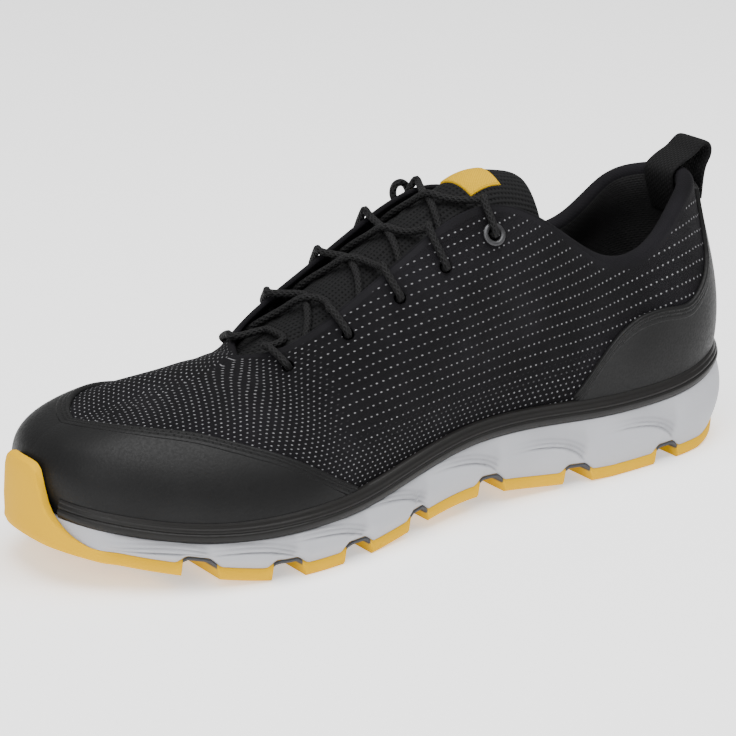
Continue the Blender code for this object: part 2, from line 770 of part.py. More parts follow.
def make_midsole(finish):
    """Foamed midsole with a waved side, arched up over each notch of the tread."""
    half = sole_stations()
    side = [midsole_side(station) for station in both_sides(half)]
    shares = (0.0, 0.5, 1.0)
    pairs = [(side[index], side[-1 - index]) for index in range(len(half))]
    tops = [across(lateral[0], medial[0], shares) for lateral, medial in pairs]
    bottoms = [across(lateral[-1], medial[-1], shares) for lateral, medial in pairs]
    return closed_solid("midsole", [side, tops, bottoms], finish)


def bumper_rise(station):
    """Share of the bumper's full height at a station: 0 along the sides, 1 round the toe."""
    return float(edge_share(BUMPER_EDGE, BUMPER_EDGE_COLUMNS, float(wrap(station))))


def bumper_back(station, height):
    """Point just outside whatever stands behind the bumper at a height."""
    here = np.array(float(station))
    foot, low = float(bed(here)), float(web_top(here)) + CLEARANCE
    if height <= foot:
        up = min(1.0, max(0.0, (height - low) / (foot - low)))
        out = max(midsole_out(station, up), midsole_out(station, 0.0)) + CLEARANCE
        return edge_point(here, np.array(out), height)
    share = share_at(here, height - foot - CLEARANCE)[0]
    point = off_skin(here, share, CAP_THICKNESS + 3 * CLEARANCE)
    point[2] = height
    away = np.append(outward(here), 0.0)
    short = CLEARANCE - float(np.dot(point - edge_point(here, np.array(0.0), height), away))
    return point + away * max(0.0, short)


def tread_height(station, share):
    """Height of the outsole's underside: on a lug, or up on the web in a notch or groove."""
    row = abs(float(wrap(station)))
    here = np.array(float(station))
    web = float(web_top(here)) - WEB_THICKNESS
    on_lug = any(rear + LUG_REAR_SLOPE * 0.9 < row < front - LUG_FRONT_CHAMFER * 0.9 or row in (0, LAST_ROW)
                 for rear, front in lug_stations())
    in_groove = any(low <= share <= high for low, high in LUG_GROOVES)
    in_groove = in_groove and GROOVE_ROWS[0] < row < GROOVE_ROWS[1]
    return float(tread(here)) if on_lug and not in_groove else web


def outsole_section(station):
    """Points of the outsole's rim: the joint's edge, the wall's inside, its outside, the foot."""
    here = np.array(float(station))
    rise = bumper_rise(station)
    joint = float(web_top(here))
    flush = midsole_out(station, 0.0)
    edge = edge_point(here, np.array(flush), joint)
    foot_height = tread_height(station, 0.0)
    away = np.append(outward(here), 0.0)
    proud = BUMPER_THICKNESS * float(soft_step((abs(float(wrap(station))) - BUMPER_START) / BUMPER_SWELL))
    top = joint + (BUMPER_HEIGHT - joint) * rise
    if rise > 0:
        inner = [bumper_back(station, joint + CLEARANCE + (top - joint - CLEARANCE) * step)
                 for step in BUMPER_INSIDE]
        outer = [bumper_back(station, joint + (top - joint) * step) + away * proud
                 for step in BUMPER_OUTSIDE]
        outer.insert(0, (inner[-1] + outer[0]) / 2 + np.array([0, 0, OVERLAY_BEVEL * rise]))
    else:
        inner = [edge] * len(BUMPER_INSIDE)
        outer = [edge] * (len(BUMPER_OUTSIDE) + 1)
    side = edge_point(here, np.array(flush + proud + LUG_BULGE), (joint + foot_height * 2) / 3)
    foot = edge_point(here, np.array(flush + proud * 0.5 - LUG_BULGE), foot_height)
    return [edge, *inner, *outer, side, foot]


def make_outsole(finish):
    """Rubber outsole: a web with lugs under the midsole, turned up into a bumper at the toe."""
    half = sole_stations()
    side = [outsole_section(station) for station in both_sides(half)]
    shares = [0.0]
    for low, high in LUG_GROOVES:
        shares += [low - GROOVE_SLOPE, low, high, high + GROOVE_SLOPE]
    shares.append(1.0)
    tops, bottoms = [], []
    for index, station in enumerate(half):
        lateral, medial = side[index], side[-1 - index]
        tops.append(across(lateral[0], medial[0], (0.0, 0.5, 1.0)))
        row = across(lateral[-1], medial[-1], shares)
        for point, share in zip(row, shares):
            point[2] = tread_height(station, share)
        bottoms.append(row)
    return closed_solid("outsole", [side, tops, bottoms], finish)


def bed_at(point):
    """Height of the midsole's top under a plan point."""
    stations = np.linspace(0, LAST_ROW, 601)
    station = np.interp((point[0] + HEEL_SEAT) / SOLE_LENGTH, outline_along(stations), stations)
    lateral, medial = outline(station)[1], outline(-station)[1]
    share = (lateral - point[1]) / (lateral - medial)
    return float(bed(station)) * (1 - share) + float(bed(-station)) * share


def make_insole(finish):
    """Removable insole, flat on the midsole inside the foot of the upper."""
    half = np.linspace(0, LAST_ROW, LAST_ROW * 2 + 1)
    inset = UPPER_INSET + UPPER_WALL + INSOLE_FIT
    edges = [edge_point(station, np.array(-inset), 0.0) for station in both_sides(half)]
    tops, bottoms = [], []
    for index in range(len(half)):
        low, high = [], []
        width = float(np.linalg.norm(edges[index] - edges[-1 - index]))
        deepest = INSOLE_DISH * float(soft_step(width / (BALL_WIDTH / 2)))
        for share, point in zip(INSOLE_SHARES, across(edges[index], edges[-1 - index], INSOLE_SHARES)):
            base = bed_at(point) + CLEARANCE
            low.append(np.array([*point[:2], base]))
            dish = deepest * (1 - abs(2 * share - 1))
            high.append(np.array([*point[:2], base + INSOLE_THICKNESS - dish]))
        tops.append(high)
        bottoms.append(low)
    walls = [[[low[side], high[side]] for low, high in zip(bottoms, tops)] for side in (0, -1)]
    return closed_solid("insole", [tops, bottoms, *walls], finish)


tongue_columns = {name: curve_through(column(TONGUE, TONGUE_COLUMNS, name)) for name in TONGUE_COLUMNS}


def tongue(row, side):
    """Point on the outside of the tongue: row of its table, side from 1 lateral to -1 medial."""
    values = {name: float(tongue_columns[name](row)) for name in TONGUE_COLUMNS}
    edges = []
    for sign in (1, -1):
        place, share = np.array(sign * values["station"]), np.array(values["share"])
        depth = float(wall(place, share)) + TONGUE_GAP
        edges.append(off_skin(place, share, -depth))
    middle = np.array([values["along"] * SOLE_LENGTH - HEEL_SEAT, (edges[0][1] + edges[1][1]) / 2,
                       values["up"] * UPPER_HEIGHT + BED_HEIGHT])
    lateral, medial = (1 + side) / 2, (1 - side) / 2
    return (edges[0] * lateral * (lateral - medial) + middle * 4 * lateral * medial
            + edges[1] * medial * (medial - lateral))


def tongue_normal(row, side):
    """Direction out of the tongue's surface."""
    step = 0.05
    last = len(TONGUE) - 1
    ahead = tongue(min(row + step, last), side) - tongue(max(row - step, 0), side)
    over = tongue(row, max(side - step, -1)) - tongue(row, min(side + step, 1))
    return unit(np.cross(ahead, over))


def make_tongue(finish):
    """Padded tongue, tucked under the edges of the throat and standing up above its top."""
    rows = np.linspace(0, len(TONGUE) - 1, TONGUE_ROWS)
    sides = np.array(TONGUE_SIDES)
    outside, inside = [], []
    for row in rows:
        pad = float(tongue_columns["pad"](row))
        deep = TONGUE_THICKNESS + (TONGUE_PADDING - TONGUE_THICKNESS) * pad
        taper = np.clip(np.sqrt(1 - np.abs(sides) ** 4), TONGUE_LEAST_EDGE, 1)
        outside.append([tongue(row, side) for side in sides])
        inside.append([tongue(row, side) - tongue_normal(row, side) * deep * part
                       for side, part in zip(sides, taper)])
    edges = [[[high[side], low[side]] for high, low in zip(outside, inside)] for side in (0, -1)]
    ends = [[outside[place], inside[place]] for place in (0, -1)]
    return closed_solid("tongue", [outside, inside, *edges, *ends], finish)


def eyelet(index, sign):
    """Place and outward direction of an eyelet."""
    station, share = EYELETS[index]
    return skin(np.array(sign * station), np.array(share)), skin_normal(sign * station, share)


def cut_eyelets(upper):
    """Punches the eyelet holes through the upper."""
    mesh = bmesh.new()
    for index in range(len(EYELETS)):
        for sign in (1, -1):
            centre, away = eyelet(index, sign)
            turn = Vector((0, 0, 1)).rotation_difference(Vector(away)).to_matrix().to_4x4()
            bmesh.ops.create_cone(mesh, cap_ends=True, segments=12, radius1=EYELET_HOLE / 2,
                                  radius2=EYELET_HOLE / 2, depth=UPPER_WALL * 4,
                                  matrix=Matrix.Translation(centre) @ turn)
    data = bpy.data.meshes.new("eyelet_cutter")
    mesh.to_mesh(data)
    mesh.free()
    cutter = bpy.data.objects.new("eyelet_cutter", data)
    bpy.context.scene.collection.objects.link(cutter)
    cutter.hide_render = True
    cutter.display_type = "WIRE"
    cut = upper.modifiers.new("eyelets", "BOOLEAN")
    cut.operation = "DIFFERENCE"
    cut.object = cutter


def make_eyelet_ring(name, sign, finish):
    """Metal ring pressed into the top eyelet."""
    centre, away = eyelet(len(EYELETS) - 1, sign)
    first = unit(np.cross(away, [0.0, 0.0, 1.0]))
    second = np.cross(away, first)
    inner, outer = RING_HOLE / 2, RING_HOLE / 2 + RING_WIDTH
    profile = ((inner, 0.0), (outer, 0.0), (outer, 0.5), (outer - RING_WIDTH * RING_BEVEL, 1.0),
               (inner + RING_WIDTH * RING_BEVEL, 1.0), (inner, 0.6), (inner, 0.0))
    rows = []
    for turn in np.linspace(0, 2 * math.pi, RING_SIDES + 1):
        spoke = first * math.cos(turn) + second * math.sin(turn)
        rows.append([centre + away * (CLEARANCE + RING_HEIGHT * up) + spoke * radius
                     for radius, up in profile])
    rows[-1] = rows[0]
    return closed_solid(name, [rows], finish)


def tongue_row(place):
    """Row of the tongue's table beside an eyelet, or beside a place between two of them."""
    stations = np.interp(place, np.arange(len(EYELETS)), column(EYELETS, EYELET_COLUMNS, "station"))
    return float(np.interp(-stations, -column(TONGUE, TONGUE_COLUMNS, "station"),
                           np.arange(len(TONGUE))))


def throat_side(row, sign):
    """Side of the tongue that lies under the free edge of the throat."""
    edge = rim(THROAT_ROW * (1 + sign * np.linspace(0, 1, 201)))
    sides = np.linspace(*THROAT_SIDES, 31) * sign
    gaps = [np.min(np.linalg.norm(edge - tongue(row, side), axis=1)) for side in sides]
    return float(sides[int(np.argmin(gaps))])


def on_tongue(row, side):
    """Middle of a lace that lies on the tongue."""
    return tongue(row, side) + tongue_normal(row, side) * (LACE_DIAMETER / 2 + LACE_LIFT)


def round_edge(station, turn):
    """Middle of a lace that passes round the throat's edge: turn 0 on its outside, 90 across from it."""
    place = np.full(2, float(station))
    outer, below = skin(place, np.array([1.0, UPPER_SHARES[-2]]))
    inner = off_skin(station, 1.0, -UPPER_WALL)
    away = unit(outer - inner)
    along = outer - below
    along = unit(along - away * np.dot(along, away))
    radius = UPPER_WALL / 2 + LACE_DIAMETER / 2 + LACE_LIFT
    turn = math.radians(turn)
    return (outer + inner) / 2 + (away * math.cos(turn) + along * math.sin(turn)) * radius


def lace_start(index, sign):
    """Route of a lace out of an eyelet and round the edge of the throat."""
    centre, away = eyelet(index, sign)
    station = sign * EYELETS[index][0]
    over = LACE_DIAMETER / 2 + LACE_LIFT
    if index == len(EYELETS) - 1:
        over += RING_HEIGHT + CLEARANCE
    return [centre - away * LACE_SINK, centre + away * over,
            *(round_edge(station, turn) for turn in LACE_TURNS)]


def strand(index, sign):
    """Route of one diagonal: from an eyelet to the far edge of the throat, one eyelet forward."""
    place = index - 1 + LACE_BESIDE
    first, last = tongue_row(index), tongue_row(place)
    start, end = throat_side(first, sign), throat_side(last, -sign)
    points = [on_tongue(first + (last - first) * part, start + (end - start) * part)
              for part in LACE_OVER_TONGUE]
    stations = np.interp(place, np.arange(len(EYELETS)), column(EYELETS, EYELET_COLUMNS, "station"))
    return [*lace_start(index, sign), *points, round_edge(-sign * stations, LACE_TURNS[-1])]


def make_lace(name, routes, finish):
    """Round laces along routes that cross, joined where they meet."""
    made = []
    for number, points in enumerate(routes):
        route = curve_through(points)
        spacing = np.linspace(0, len(points) - 1, 200)
        line = route(spacing)
        run = np.concatenate([[0], np.cumsum(np.linalg.norm(np.diff(line, axis=0), axis=1))])
        places = np.interp(np.linspace(0, run[-1], int(run[-1] / LACE_STEP) + 2), run, spacing)
        rows = []
        side = np.array([0.0, 0.0, 1.0])
        for place in places:
            ahead = unit(route(min(place + 0.02, len(points) - 1)) - route(max(place - 0.02, 0)))
            side = unit(side - ahead * np.dot(side, ahead))
            other = np.cross(ahead, side)
            turns = np.linspace(0, 2 * math.pi, LACE_SIDES + 1)
            rows.append([route(place) + (side * math.cos(turn) + other * math.sin(turn))
                         * LACE_DIAMETER / 2 for turn in turns])
            rows[-1][-1] = rows[-1][0]
        ends = [[[row[0]] * 2, *([row[turn], row[-1 - turn]] for turn in range(1, LACE_SIDES // 2)),
                 [row[LACE_SIDES // 2]] * 2] for row in (rows[0], rows[-1])]
        made.append(closed_solid(name if number == 0 else f"{name}_under", [rows, *ends], finish))
    for under in made[1:]:
        under.hide_render = True
        under.display_type = "WIRE"
        joint = made[0].modifiers.new("joint", "BOOLEAN")
        joint.operation = "UNION"
        joint.object = under


def make_laces(finish):
    """The straight lace across the front of the throat and the crossings behind it."""
    row = tongue_row(0)
    over_front = [on_tongue(row, throat_side(row, 1) * side)
                  for side in (LACE_OVER_FRONT, 0.0, -LACE_OVER_FRONT)]
    make_lace("lace_front", [[*lace_start(0, 1), *over_front, *lace_start(0, -1)[::-1]]], finish)
    for index in range(1, len(EYELETS)):
        make_lace(f"lace_cross_{index}", [strand(index, 1), strand(index, -1)], finish)


def make_lace_loop(finish):
    """The loop of lace left standing at the medial top eyelet."""
    start = lace_start(len(EYELETS) - 1, -1)[1]
    ahead, out, up = (column(LACE_LOOP, LACE_LOOP_COLUMNS, name) for name in LACE_LOOP_COLUMNS)
    tube("lace_loop", start + stack(ahead, -out, up) * LACE_LOOP_SIZE, LACE_DIAMETER, finish)


def make_pull_loop(finish):
    """Webbing loop over the back of the collar, sewn inside and outside it."""
    back, up = (column(LOOP, LOOP_COLUMNS, name) for name in LOOP_COLUMNS)
    edge = rim(float(THROAT_ROW))
    depth = float(wall(np.array(0.0), np.array(LOOP_SEWN_INSIDE))) + LOOP_INNER_SEAT
    inside = off_skin(0.0, LOOP_SEWN_INSIDE, -depth)
    outside = off_skin(0.0, LOOP_SEWN_OUTSIDE, CAP_THICKNESS + 2 * CLEARANCE + LOOP_SEAT)
    line = [inside, *(np.array([edge[0] - shift * HEEL_SEAT, 0.0, edge[2] + lift * UPPER_HEIGHT])
                      for shift, lift in zip(back, up)), outside]
    route = curve_through(line)
    rows = []
    for place in np.linspace(0, len(line) - 1, 25):
        run = unit(route(min(place + 0.02, len(line) - 1)) - route(max(place - 0.02, 0)))
        face = np.array([-run[2], 0.0, run[0]]) * LOOP_THICKNESS / 2
        wide = np.array([0.0, LOOP_WIDTH / 2, 0.0])
        point = route(place)
        rows.append([point + face - wide, point + face + wide, point - face + wide,
                     point - face - wide, point + face - wide])
    ends = [[[row[0], row[1]], [row[3], row[2]]] for row in (rows[0], rows[-1])]
    return closed_solid("pull_loop", [rows, *ends], finish)


def main():
    for old in list(bpy.data.objects):
        bpy.data.objects.remove(old)
    knit = material("black_knit", (0.020, 0.020, 0.022), 0.85)
    cap = material("black_coated_cap", (0.018, 0.018, 0.019), 0.45)
    rubber = material("black_rubber", (0.016, 0.016, 0.017), 0.38)
    foam = material("grey_foam", (0.56, 0.57, 0.60), 0.55)
    tread_rubber = material("yellow_rubber", (0.93, 0.62, 0.03), 0.50)
    mesh_cloth = material("black_mesh", (0.017, 0.017, 0.019), 0.90)
    lining = material("black_lining", (0.012, 0.012, 0.013), 0.95)
    cord = material("black_cord", (0.013, 0.013, 0.014), 0.80)
    ring = material("dark_metal", (0.060, 0.060, 0.065), 0.35, 0.8)
    webbing = material("black_webbing", (0.014, 0.014, 0.015), 0.85)
    upper = make_upper(knit)
    cut_eyelets(upper)
    make_toe_cap(cap)
    make_heel_counter(cap)
    make_rand(rubber)
    make_midsole(foam)
    make_outsole(tread_rubber)
    make_insole(lining)
    make_tongue(mesh_cloth)
    for name, sign in (("eyelet_ring_lateral", 1), ("eyelet_ring_medial", -1)):
        make_eyelet_ring(name, sign, ring)
    make_laces(cord)
    make_lace_loop(cord)
    make_pull_loop(webbing)


if __name__ == "__main__":
    main()
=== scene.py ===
"""Looks of a low safety sneaker for the left foot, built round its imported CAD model."""

from functools import partial
import math

import bmesh
import bpy
import numpy as np
from mathutils import Matrix, Vector


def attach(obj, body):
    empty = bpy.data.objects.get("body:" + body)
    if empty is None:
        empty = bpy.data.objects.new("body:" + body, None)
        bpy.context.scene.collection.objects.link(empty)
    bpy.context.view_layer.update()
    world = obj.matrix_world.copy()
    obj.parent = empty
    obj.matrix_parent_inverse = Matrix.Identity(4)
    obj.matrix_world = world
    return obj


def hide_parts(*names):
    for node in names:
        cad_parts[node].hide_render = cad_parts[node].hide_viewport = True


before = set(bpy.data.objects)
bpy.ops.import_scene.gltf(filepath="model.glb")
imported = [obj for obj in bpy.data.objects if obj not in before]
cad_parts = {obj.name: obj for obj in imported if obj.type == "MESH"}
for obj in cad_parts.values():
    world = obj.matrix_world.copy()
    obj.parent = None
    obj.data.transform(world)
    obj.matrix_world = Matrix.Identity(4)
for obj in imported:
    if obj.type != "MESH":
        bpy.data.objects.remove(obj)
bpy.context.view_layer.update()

bl_info = {
    "name": "Safety sneaker",
    "version": (1, 0, 0),
    "blender": (4, 5, 0),
    "location": "3D View > Sidebar > Sneaker",
    "description": "Builds the detailed pieces and finishes of a knitted safety sneaker",
    "category": "Add Mesh",
}

# Driving sizes, in metres
SOLE_LENGTH = 0.3015
BALL_WIDTH = 0.108
HEEL_SEAT = 0.051         # from the sole's back to the origin
BED_HEIGHT = 0.028        # top edge of the midsole at the heel seat
TOE_SPRING = 0.014        # lift of the tread under the tip of the toe
UPPER_HEIGHT = 0.086      # from the midsole's edge to the top of the throat
UPPER_WALL = 0.0022
COLLAR_WALL = 0.0070      # padded edge round the ankle
COLLAR_DEPTH = 0.38       # share of a rib over which the padding fades out
UPPER_INSET = 0.0040      # from the midsole's edge in to the foot of the upper
CLEARANCE = 0.0003        # between pieces that touch

RAND_HEIGHT = 0.0070
RAND_PROUD = 0.0008       # how far the rand stands out past the midsole's edge
RAND_EDGE = 0.0016        # thickness of its upper edge
RAND_FACE = ((0.2, 0.0), (1.0, 0.25), (0.4, 0.62))   # out in RAND_PROUD, up in RAND_HEIGHT
CAP_THICKNESS = 0.0012    # toe cap and heel counter
OVERLAY_BEVEL = 0.0006

BELLY = 0.0022            # how far the midsole's side swells out
SOLE_TUCK = 0.0016        # how far the midsole's lower edge is drawn in
WEB_THICKNESS = 0.0016
PAD_THICKNESS = 0.0048
NOTCH_RISE = 0.0030       # how far the midsole arches up over a notch
LUG_BULGE = 0.0005        # how far a lug's side stands out over its edges
BUMPER_THICKNESS = 0.0034
BUMPER_HEIGHT = 0.0440    # top of the bumper at the tip of the toe
BUMPER_START = 13.30      # station where its edge starts to climb from the joint
BUMPER_SWELL = 1.1        # rows over which it grows to its thickness
BELLY_FADE = 0.45         # rows before it over which the midsole's side flattens
RAND_END = 14.12          # station where the bumper passes in front of the rand

TONGUE_THICKNESS = 0.0042
TONGUE_PADDING = 0.0075   # thickness near the tongue's top
TONGUE_GAP = 0.0010       # between its side edges and the lining

EYELET_HOLE = 0.0046
RING_HOLE = 0.0050
RING_WIDTH = 0.0020
RING_HEIGHT = 0.0012
LACE_DIAMETER = 0.0028
LACE_LIFT = 0.0010        # between a lace and the cloth below it
LACE_BESIDE = 0.24        # how far behind an eyelet the lace from the far side ends, in eyelet gaps

LOOP_WIDTH = 0.0170
LOOP_THICKNESS = 0.0018
LOOP_SEAT = 0.0012        # from the collar's outside to the middle of the webbing
LOOP_INNER_SEAT = 0.0042  # from the lining, which is hollow there, to the same

LAST_ROW = 15
THROAT_ROW = 10
LOOP_ROWS = 2 * LAST_ROW

# Outline of the midsole's top edge: along in sole lengths, the rest in ball widths
OUTLINE_COLUMNS = ("along", "lateral", "medial")
OUTLINE = (
    (0.000, 0.000, 0.000),
    (0.012, 0.148, -0.139),
    (0.045, 0.262, -0.250),
    (0.100, 0.328, -0.315),
    (0.175, 0.355, -0.333),
    (0.265, 0.364, -0.310),
    (0.360, 0.354, -0.278),
    (0.455, 0.367, -0.287),
    (0.550, 0.417, -0.352),
    (0.640, 0.472, -0.435),
    (0.724, 0.499, -0.481),
    (0.802, 0.463, -0.486),
    (0.876, 0.379, -0.444),
    (0.940, 0.248, -0.366),
    (0.976, 0.110, -0.250),
    (0.989, -0.074, -0.074),
)

# Heights of the sole: bed in bed heights, tread in toe springs. Below zero the floor trims it flat.
SOLE_COLUMNS = ("bed_lateral", "bed_medial", "tread")
SOLE_ROWS = (
    (1.200, 1.200, 0.60),
    (1.185, 1.185, 0.42),
    (1.120, 1.120, 0.12),
    (0.990, 1.010, -0.06),
    (0.925, 0.960, -0.05),
    (0.940, 1.010, 0.04),
    (0.995, 1.080, 0.24),
    (0.990, 1.070, 0.42),
    (0.850, 0.920, 0.21),
    (0.680, 0.740, -0.03),
    (0.630, 0.680, -0.06),
    (0.610, 0.640, 0.12),
    (0.670, 0.690, 0.41),
    (0.790, 0.800, 0.70),
    (0.890, 0.890, 0.93),
    (0.930, 0.930, 1.05),
)

# Free edge of the upper, from the collar's back to the front of the throat, for each side: along in
# sole lengths, out in ball widths, up in upper heights above the bed
RIM_COLUMNS = ("lat_along", "lat_out", "lat_up", "med_along", "med_out", "med_up")
RIM = (
    (0.035, 0.000, 0.890, 0.035, 0.000, 0.890),
    (0.040, 0.085, 0.890, 0.040, -0.085, 0.880),
    (0.060, 0.170, 0.870, 0.060, -0.170, 0.860),
    (0.103, 0.240, 0.790, 0.100, -0.240, 0.800),
    (0.160, 0.274, 0.650, 0.157, -0.265, 0.660),
    (0.233, 0.272, 0.650, 0.232, -0.262, 0.655),
    (0.316, 0.240, 0.865, 0.316, -0.232, 0.860),
    (0.410, 0.182, 0.965, 0.420, -0.185, 0.950),
    (0.535, 0.165, 0.760, 0.548, -0.190, 0.740),
    (0.660, 0.140, 0.525, 0.670, -0.175, 0.510),
    (0.710, -0.030, 0.440, 0.710, -0.030, 0.440),
)

# Crest of the vamp from the front of the throat to the toe box
RIDGE_COLUMNS = ("along", "out", "up")
RIDGE = (
    (0.710, -0.030, 0.440),
    (0.738, -0.034, 0.420),
    (0.765, -0.039, 0.400),
    (0.790, -0.046, 0.380),
    (0.813, -0.055, 0.361),
    (0.835, -0.065, 0.343),
)

# Shape of the upper's ribs: flare and lean in degrees from upright, rise and reach in rib lengths
RIB_COLUMNS = ("flare", "rise", "lean", "reach")
RIBS = (
    (14, 0.40, 8, 0.35),
    (14, 0.40, 8, 0.35),
    (12, 0.40, 6, 0.35),
    (8, 0.38, 6, 0.35),
    (4, 0.36, 8, 0.35),
    (2, 0.36, 14, 0.35),
    (2, 0.36, 24, 0.34),
    (2, 0.36, 40, 0.33),
    (4, 0.34, 52, 0.33),
    (8, 0.34, 62, 0.34),
    (12, 0.34, 88, 0.36),
    (14, 0.37, 90, 0.40),
    (15, 0.42, 90, 0.44),
    (16, 0.49, 90, 0.49),
    (17, 0.55, 90, 0.52),
    (17, 0.58, 90, 0.54),
)

# Upper edges of the overlays, as shares of the ribs that they cross
CAP_EDGE_COLUMNS = ("station", "share")
CAP_EDGE = (
    (8.95, 0.090),
    (9.50, 0.230),
    (10.00, 0.320),
    (10.50, 0.400),
    (11.00, 0.465),
    (11.70, 0.535),
    (12.30, 0.575),
    (13.20, 0.610),
    (14.00, 0.635),
    (15.00, 0.650),
)
COUNTER_EDGE_COLUMNS = ("station", "share")
COUNTER_EDGE = (
    (0.00, 0.960),
    (1.45, 0.950),
    (1.65, 0.800),
    (1.90, 0.620),
    (2.30, 0.520),
    (2.80, 0.475),
    (3.20, 0.500),
    (3.70, 0.580),
    (4.20, 0.620),
    (4.50, 0.585),
    (4.75, 0.500),
    (5.00, 0.345),
    (5.25, 0.180),
    (5.45, 0.090),
)

# Lugs of the tread, from the heel: rear and front edge in sole lengths
LUG_REAR_SLOPE = 0.03     # in rows, along the lug's nearly square rear
LUG_FRONT_CHAMFER = 0.08  # in rows, along its chamfered front
LUG_GROOVES = ((0.33, 0.37), (0.63, 0.67))   # split each lug: shares of the sole's width
GROOVE_SLOPE = 0.012
GROOVE_ROWS = (1.2, 13.9)
LUGS = (
    (0.000, 0.126),
    (0.160, 0.275),
    (0.310, 0.411),
    (0.444, 0.538),
    (0.563, 0.635),
    (0.671, 0.737),
    (0.773, 0.842),
    (0.875, 1.000),
)

# Upper edge of the bumper, up to where it is level: station, and share of its height over the joint
BUMPER_EDGE = (
    (13.00, 0.00),
    (13.30, 0.00),
    (13.62, 0.045),
    (13.92, 0.13),
    (14.17, 0.27),
    (14.31, 0.42),
    (14.40, 0.62),
    (14.46, 0.82),
    (14.54, 0.95),
    (14.70, 1.00),
    (14.90, 1.01),
    (15.00, 1.01),
)

# Sections of the tongue from its buried front to its top: station and share of the ribs where its
# side edges lie on the lining, middle along in sole lengths and up in upper heights, share of padding
TONGUE_COLUMNS = ("station", "share", "along", "up", "pad")
TONGUE = (
    (10.6, 0.80, 0.740, 0.340, 0.0),
    (9.8, 0.80, 0.695, 0.415, 0.0),
    (9.2, 0.80, 0.640, 0.530, 0.0),
    (8.4, 0.80, 0.560, 0.700, 0.2),
    (7.6, 0.80, 0.480, 0.865, 0.5),
    (6.9, 0.83, 0.410, 1.000, 1.0),
    (6.4, 0.88, 0.362, 1.062, 1.0),
    (5.75, 0.94, 0.292, 1.015, 0.7),
)

# Eyelets, front to back: station and share on the ribs of both sides
EYELET_COLUMNS = ("station", "share")
EYELETS = (
    (9.34, 0.87),
    (8.56, 0.87),
    (8.02, 0.85),
    (7.52, 0.83),
    (6.88, 0.87),
)

# Middle line of the pull loop above the collar, from its inside to its outside: back from the
# collar's edge in heel seats, up from it in upper heights
LOOP_COLUMNS = ("back", "up")
LOOP = (
    (-0.188, -0.030),
    (-0.168, 0.033),
    (-0.062, 0.070),
    (0.028, 0.095),
    (0.115, 0.131),
    (0.178, 0.115),
    (0.174, 0.066),
    (0.126, 0.008),
)

# Small loop of lace left standing at the medial top eyelet, from one side of the lace there round to
# its other side: towards the toe, out and up, in loop sizes
LACE_LOOP_SIZE = 0.0070
LACE_LOOP_COLUMNS = ("ahead", "out", "up")
LACE_LOOP = (
    (0.25, 0.00, 0.00),
    (0.45, 0.06, 0.17),
    (0.50, 0.14, 0.48),
    (0.34, 0.21, 0.84),
    (0.00, 0.24, 0.98),
    (-0.34, 0.21, 0.84),
    (-0.50, 0.14, 0.48),
    (-0.45, 0.06, 0.17),
    (-0.25, 0.00, 0.00),
)

OVERLAY_GAP = 0.0005      # between the upper and its overlays
BEHIND_RAND = 0.8         # share of the rand's height at which they end behind it
OVERLAY_MARGIN = 0.12     # rows by which an overlay's end falls short of its edge's table
LEAST_OVERLAY = 0.02      # least height of an overlay, in rib lengths
COLLAR_END = 5.2          # row where the collar's padding starts to fade out
COLLAR_FADE = 1.6         # rows over which it does
NOTCH_SPREAD = 1.6        # how far a notch's arch reaches, in half notches

# Detail that the solids don't carry
BAND_WIDTH = 0.0020               # smooth binding round the collar and along the throat
OVERLAY_ROLL = 0.0013             # over which an overlay's edge rounds down to the cloth
SEAT_DEPTH = 0.0008               # how far an overlay's inside is sunk in the cloth
RAND_GROOVES = ((0.55, 0.00055, 0.045), (0.80, 0.0003, 0.04))   # place across its face, depth, width
KNIT_TURNS = 3.2                  # rows each side of the heel where the knit runs round it
KNIT_TILT = (2.8, -0.03, 0.17)    # spread of the rows towards the heel, and where it starts and ends
KNIT_DENSE = (0.034, 0.016)       # height over the floor where the odd rows fade, and over how much
KNIT_FRONT = (0.140, 0.024)       # place along the shoe from which all rows show, and over how much
KNIT_TOE = (0.150, 0.030, 0.85)   # where the rows turn over the toe, over how much, and their spread
KNIT_BACK = (0.55, 0.35, 0.8)     # row of the tables at the foot where the dots start, lean, and fade
WAVE_COUNT = 3                    # grooves of a wave
WAVE_PITCH = 0.00155
WAVE_WIDTH = 0.00038
WAVE_DEPTH = 0.0009
WAVE_GROWTH = (0.25, 0.28)        # each further groove is so much wider and shallower
WAVE_STEP = 0.0004                # how far the foam behind the grooves is set back
WAVE_BANK = (0.004, 0.005, 0.007) # over which that grows, where it fades, and over how much
WAVE_RISE = 0.66                  # of the midsole's height
WAVE_TURN = 0.0085                # length over which a wave flattens out
WAVE_BACK = 0.004                 # how far behind the notch's middle it starts
WAVE_START = 0.003                # length over which it grows
WAVE_LENGTH = 0.036
WAVE_HOLD = 0.35                  # share of its length before it fades
WAVE_FOOT = 0.08                  # share of the midsole's height over which the waves fade downwards
LACE_SEAT = 0.0003                # between a lace and what it lies on
LACE_TAIL = 0.0030                # how far its hidden end stands inside the cloth
LACE_RISE = 0.0004                # how far the loop's ends pass the eyelet's centre
LACE_CAP = 0.6                    # reach of a lace's rounded end, in its radius
CAP_TURNS = (90, 60, 30)          # degrees at which the rings of that end stand
LACE_LEAN = (0.0012, 0.0016)      # lean of the tail, and of the lace where it comes out, across the shoe
LACE_TURNS = (30, 75)             # degrees round the throat's edge
LACE_PARTS = (0.3, 0.5, 0.7, 0.92, 1.12)   # places along a diagonal on the tongue
LACE_OVER = (0.8, 0.5, 0.16)      # rise of the upper diagonal in diameters, its middle and its reach
LACE_SIDES = 14
LACE_RINGS = 110                  # rings of a lace's tube, and of the loose loop's
LOOP_RINGS = 90
LOOP_SEWN = (0.80, 0.84)          # shares of the back rib where the webbing is sewn: inside, outside
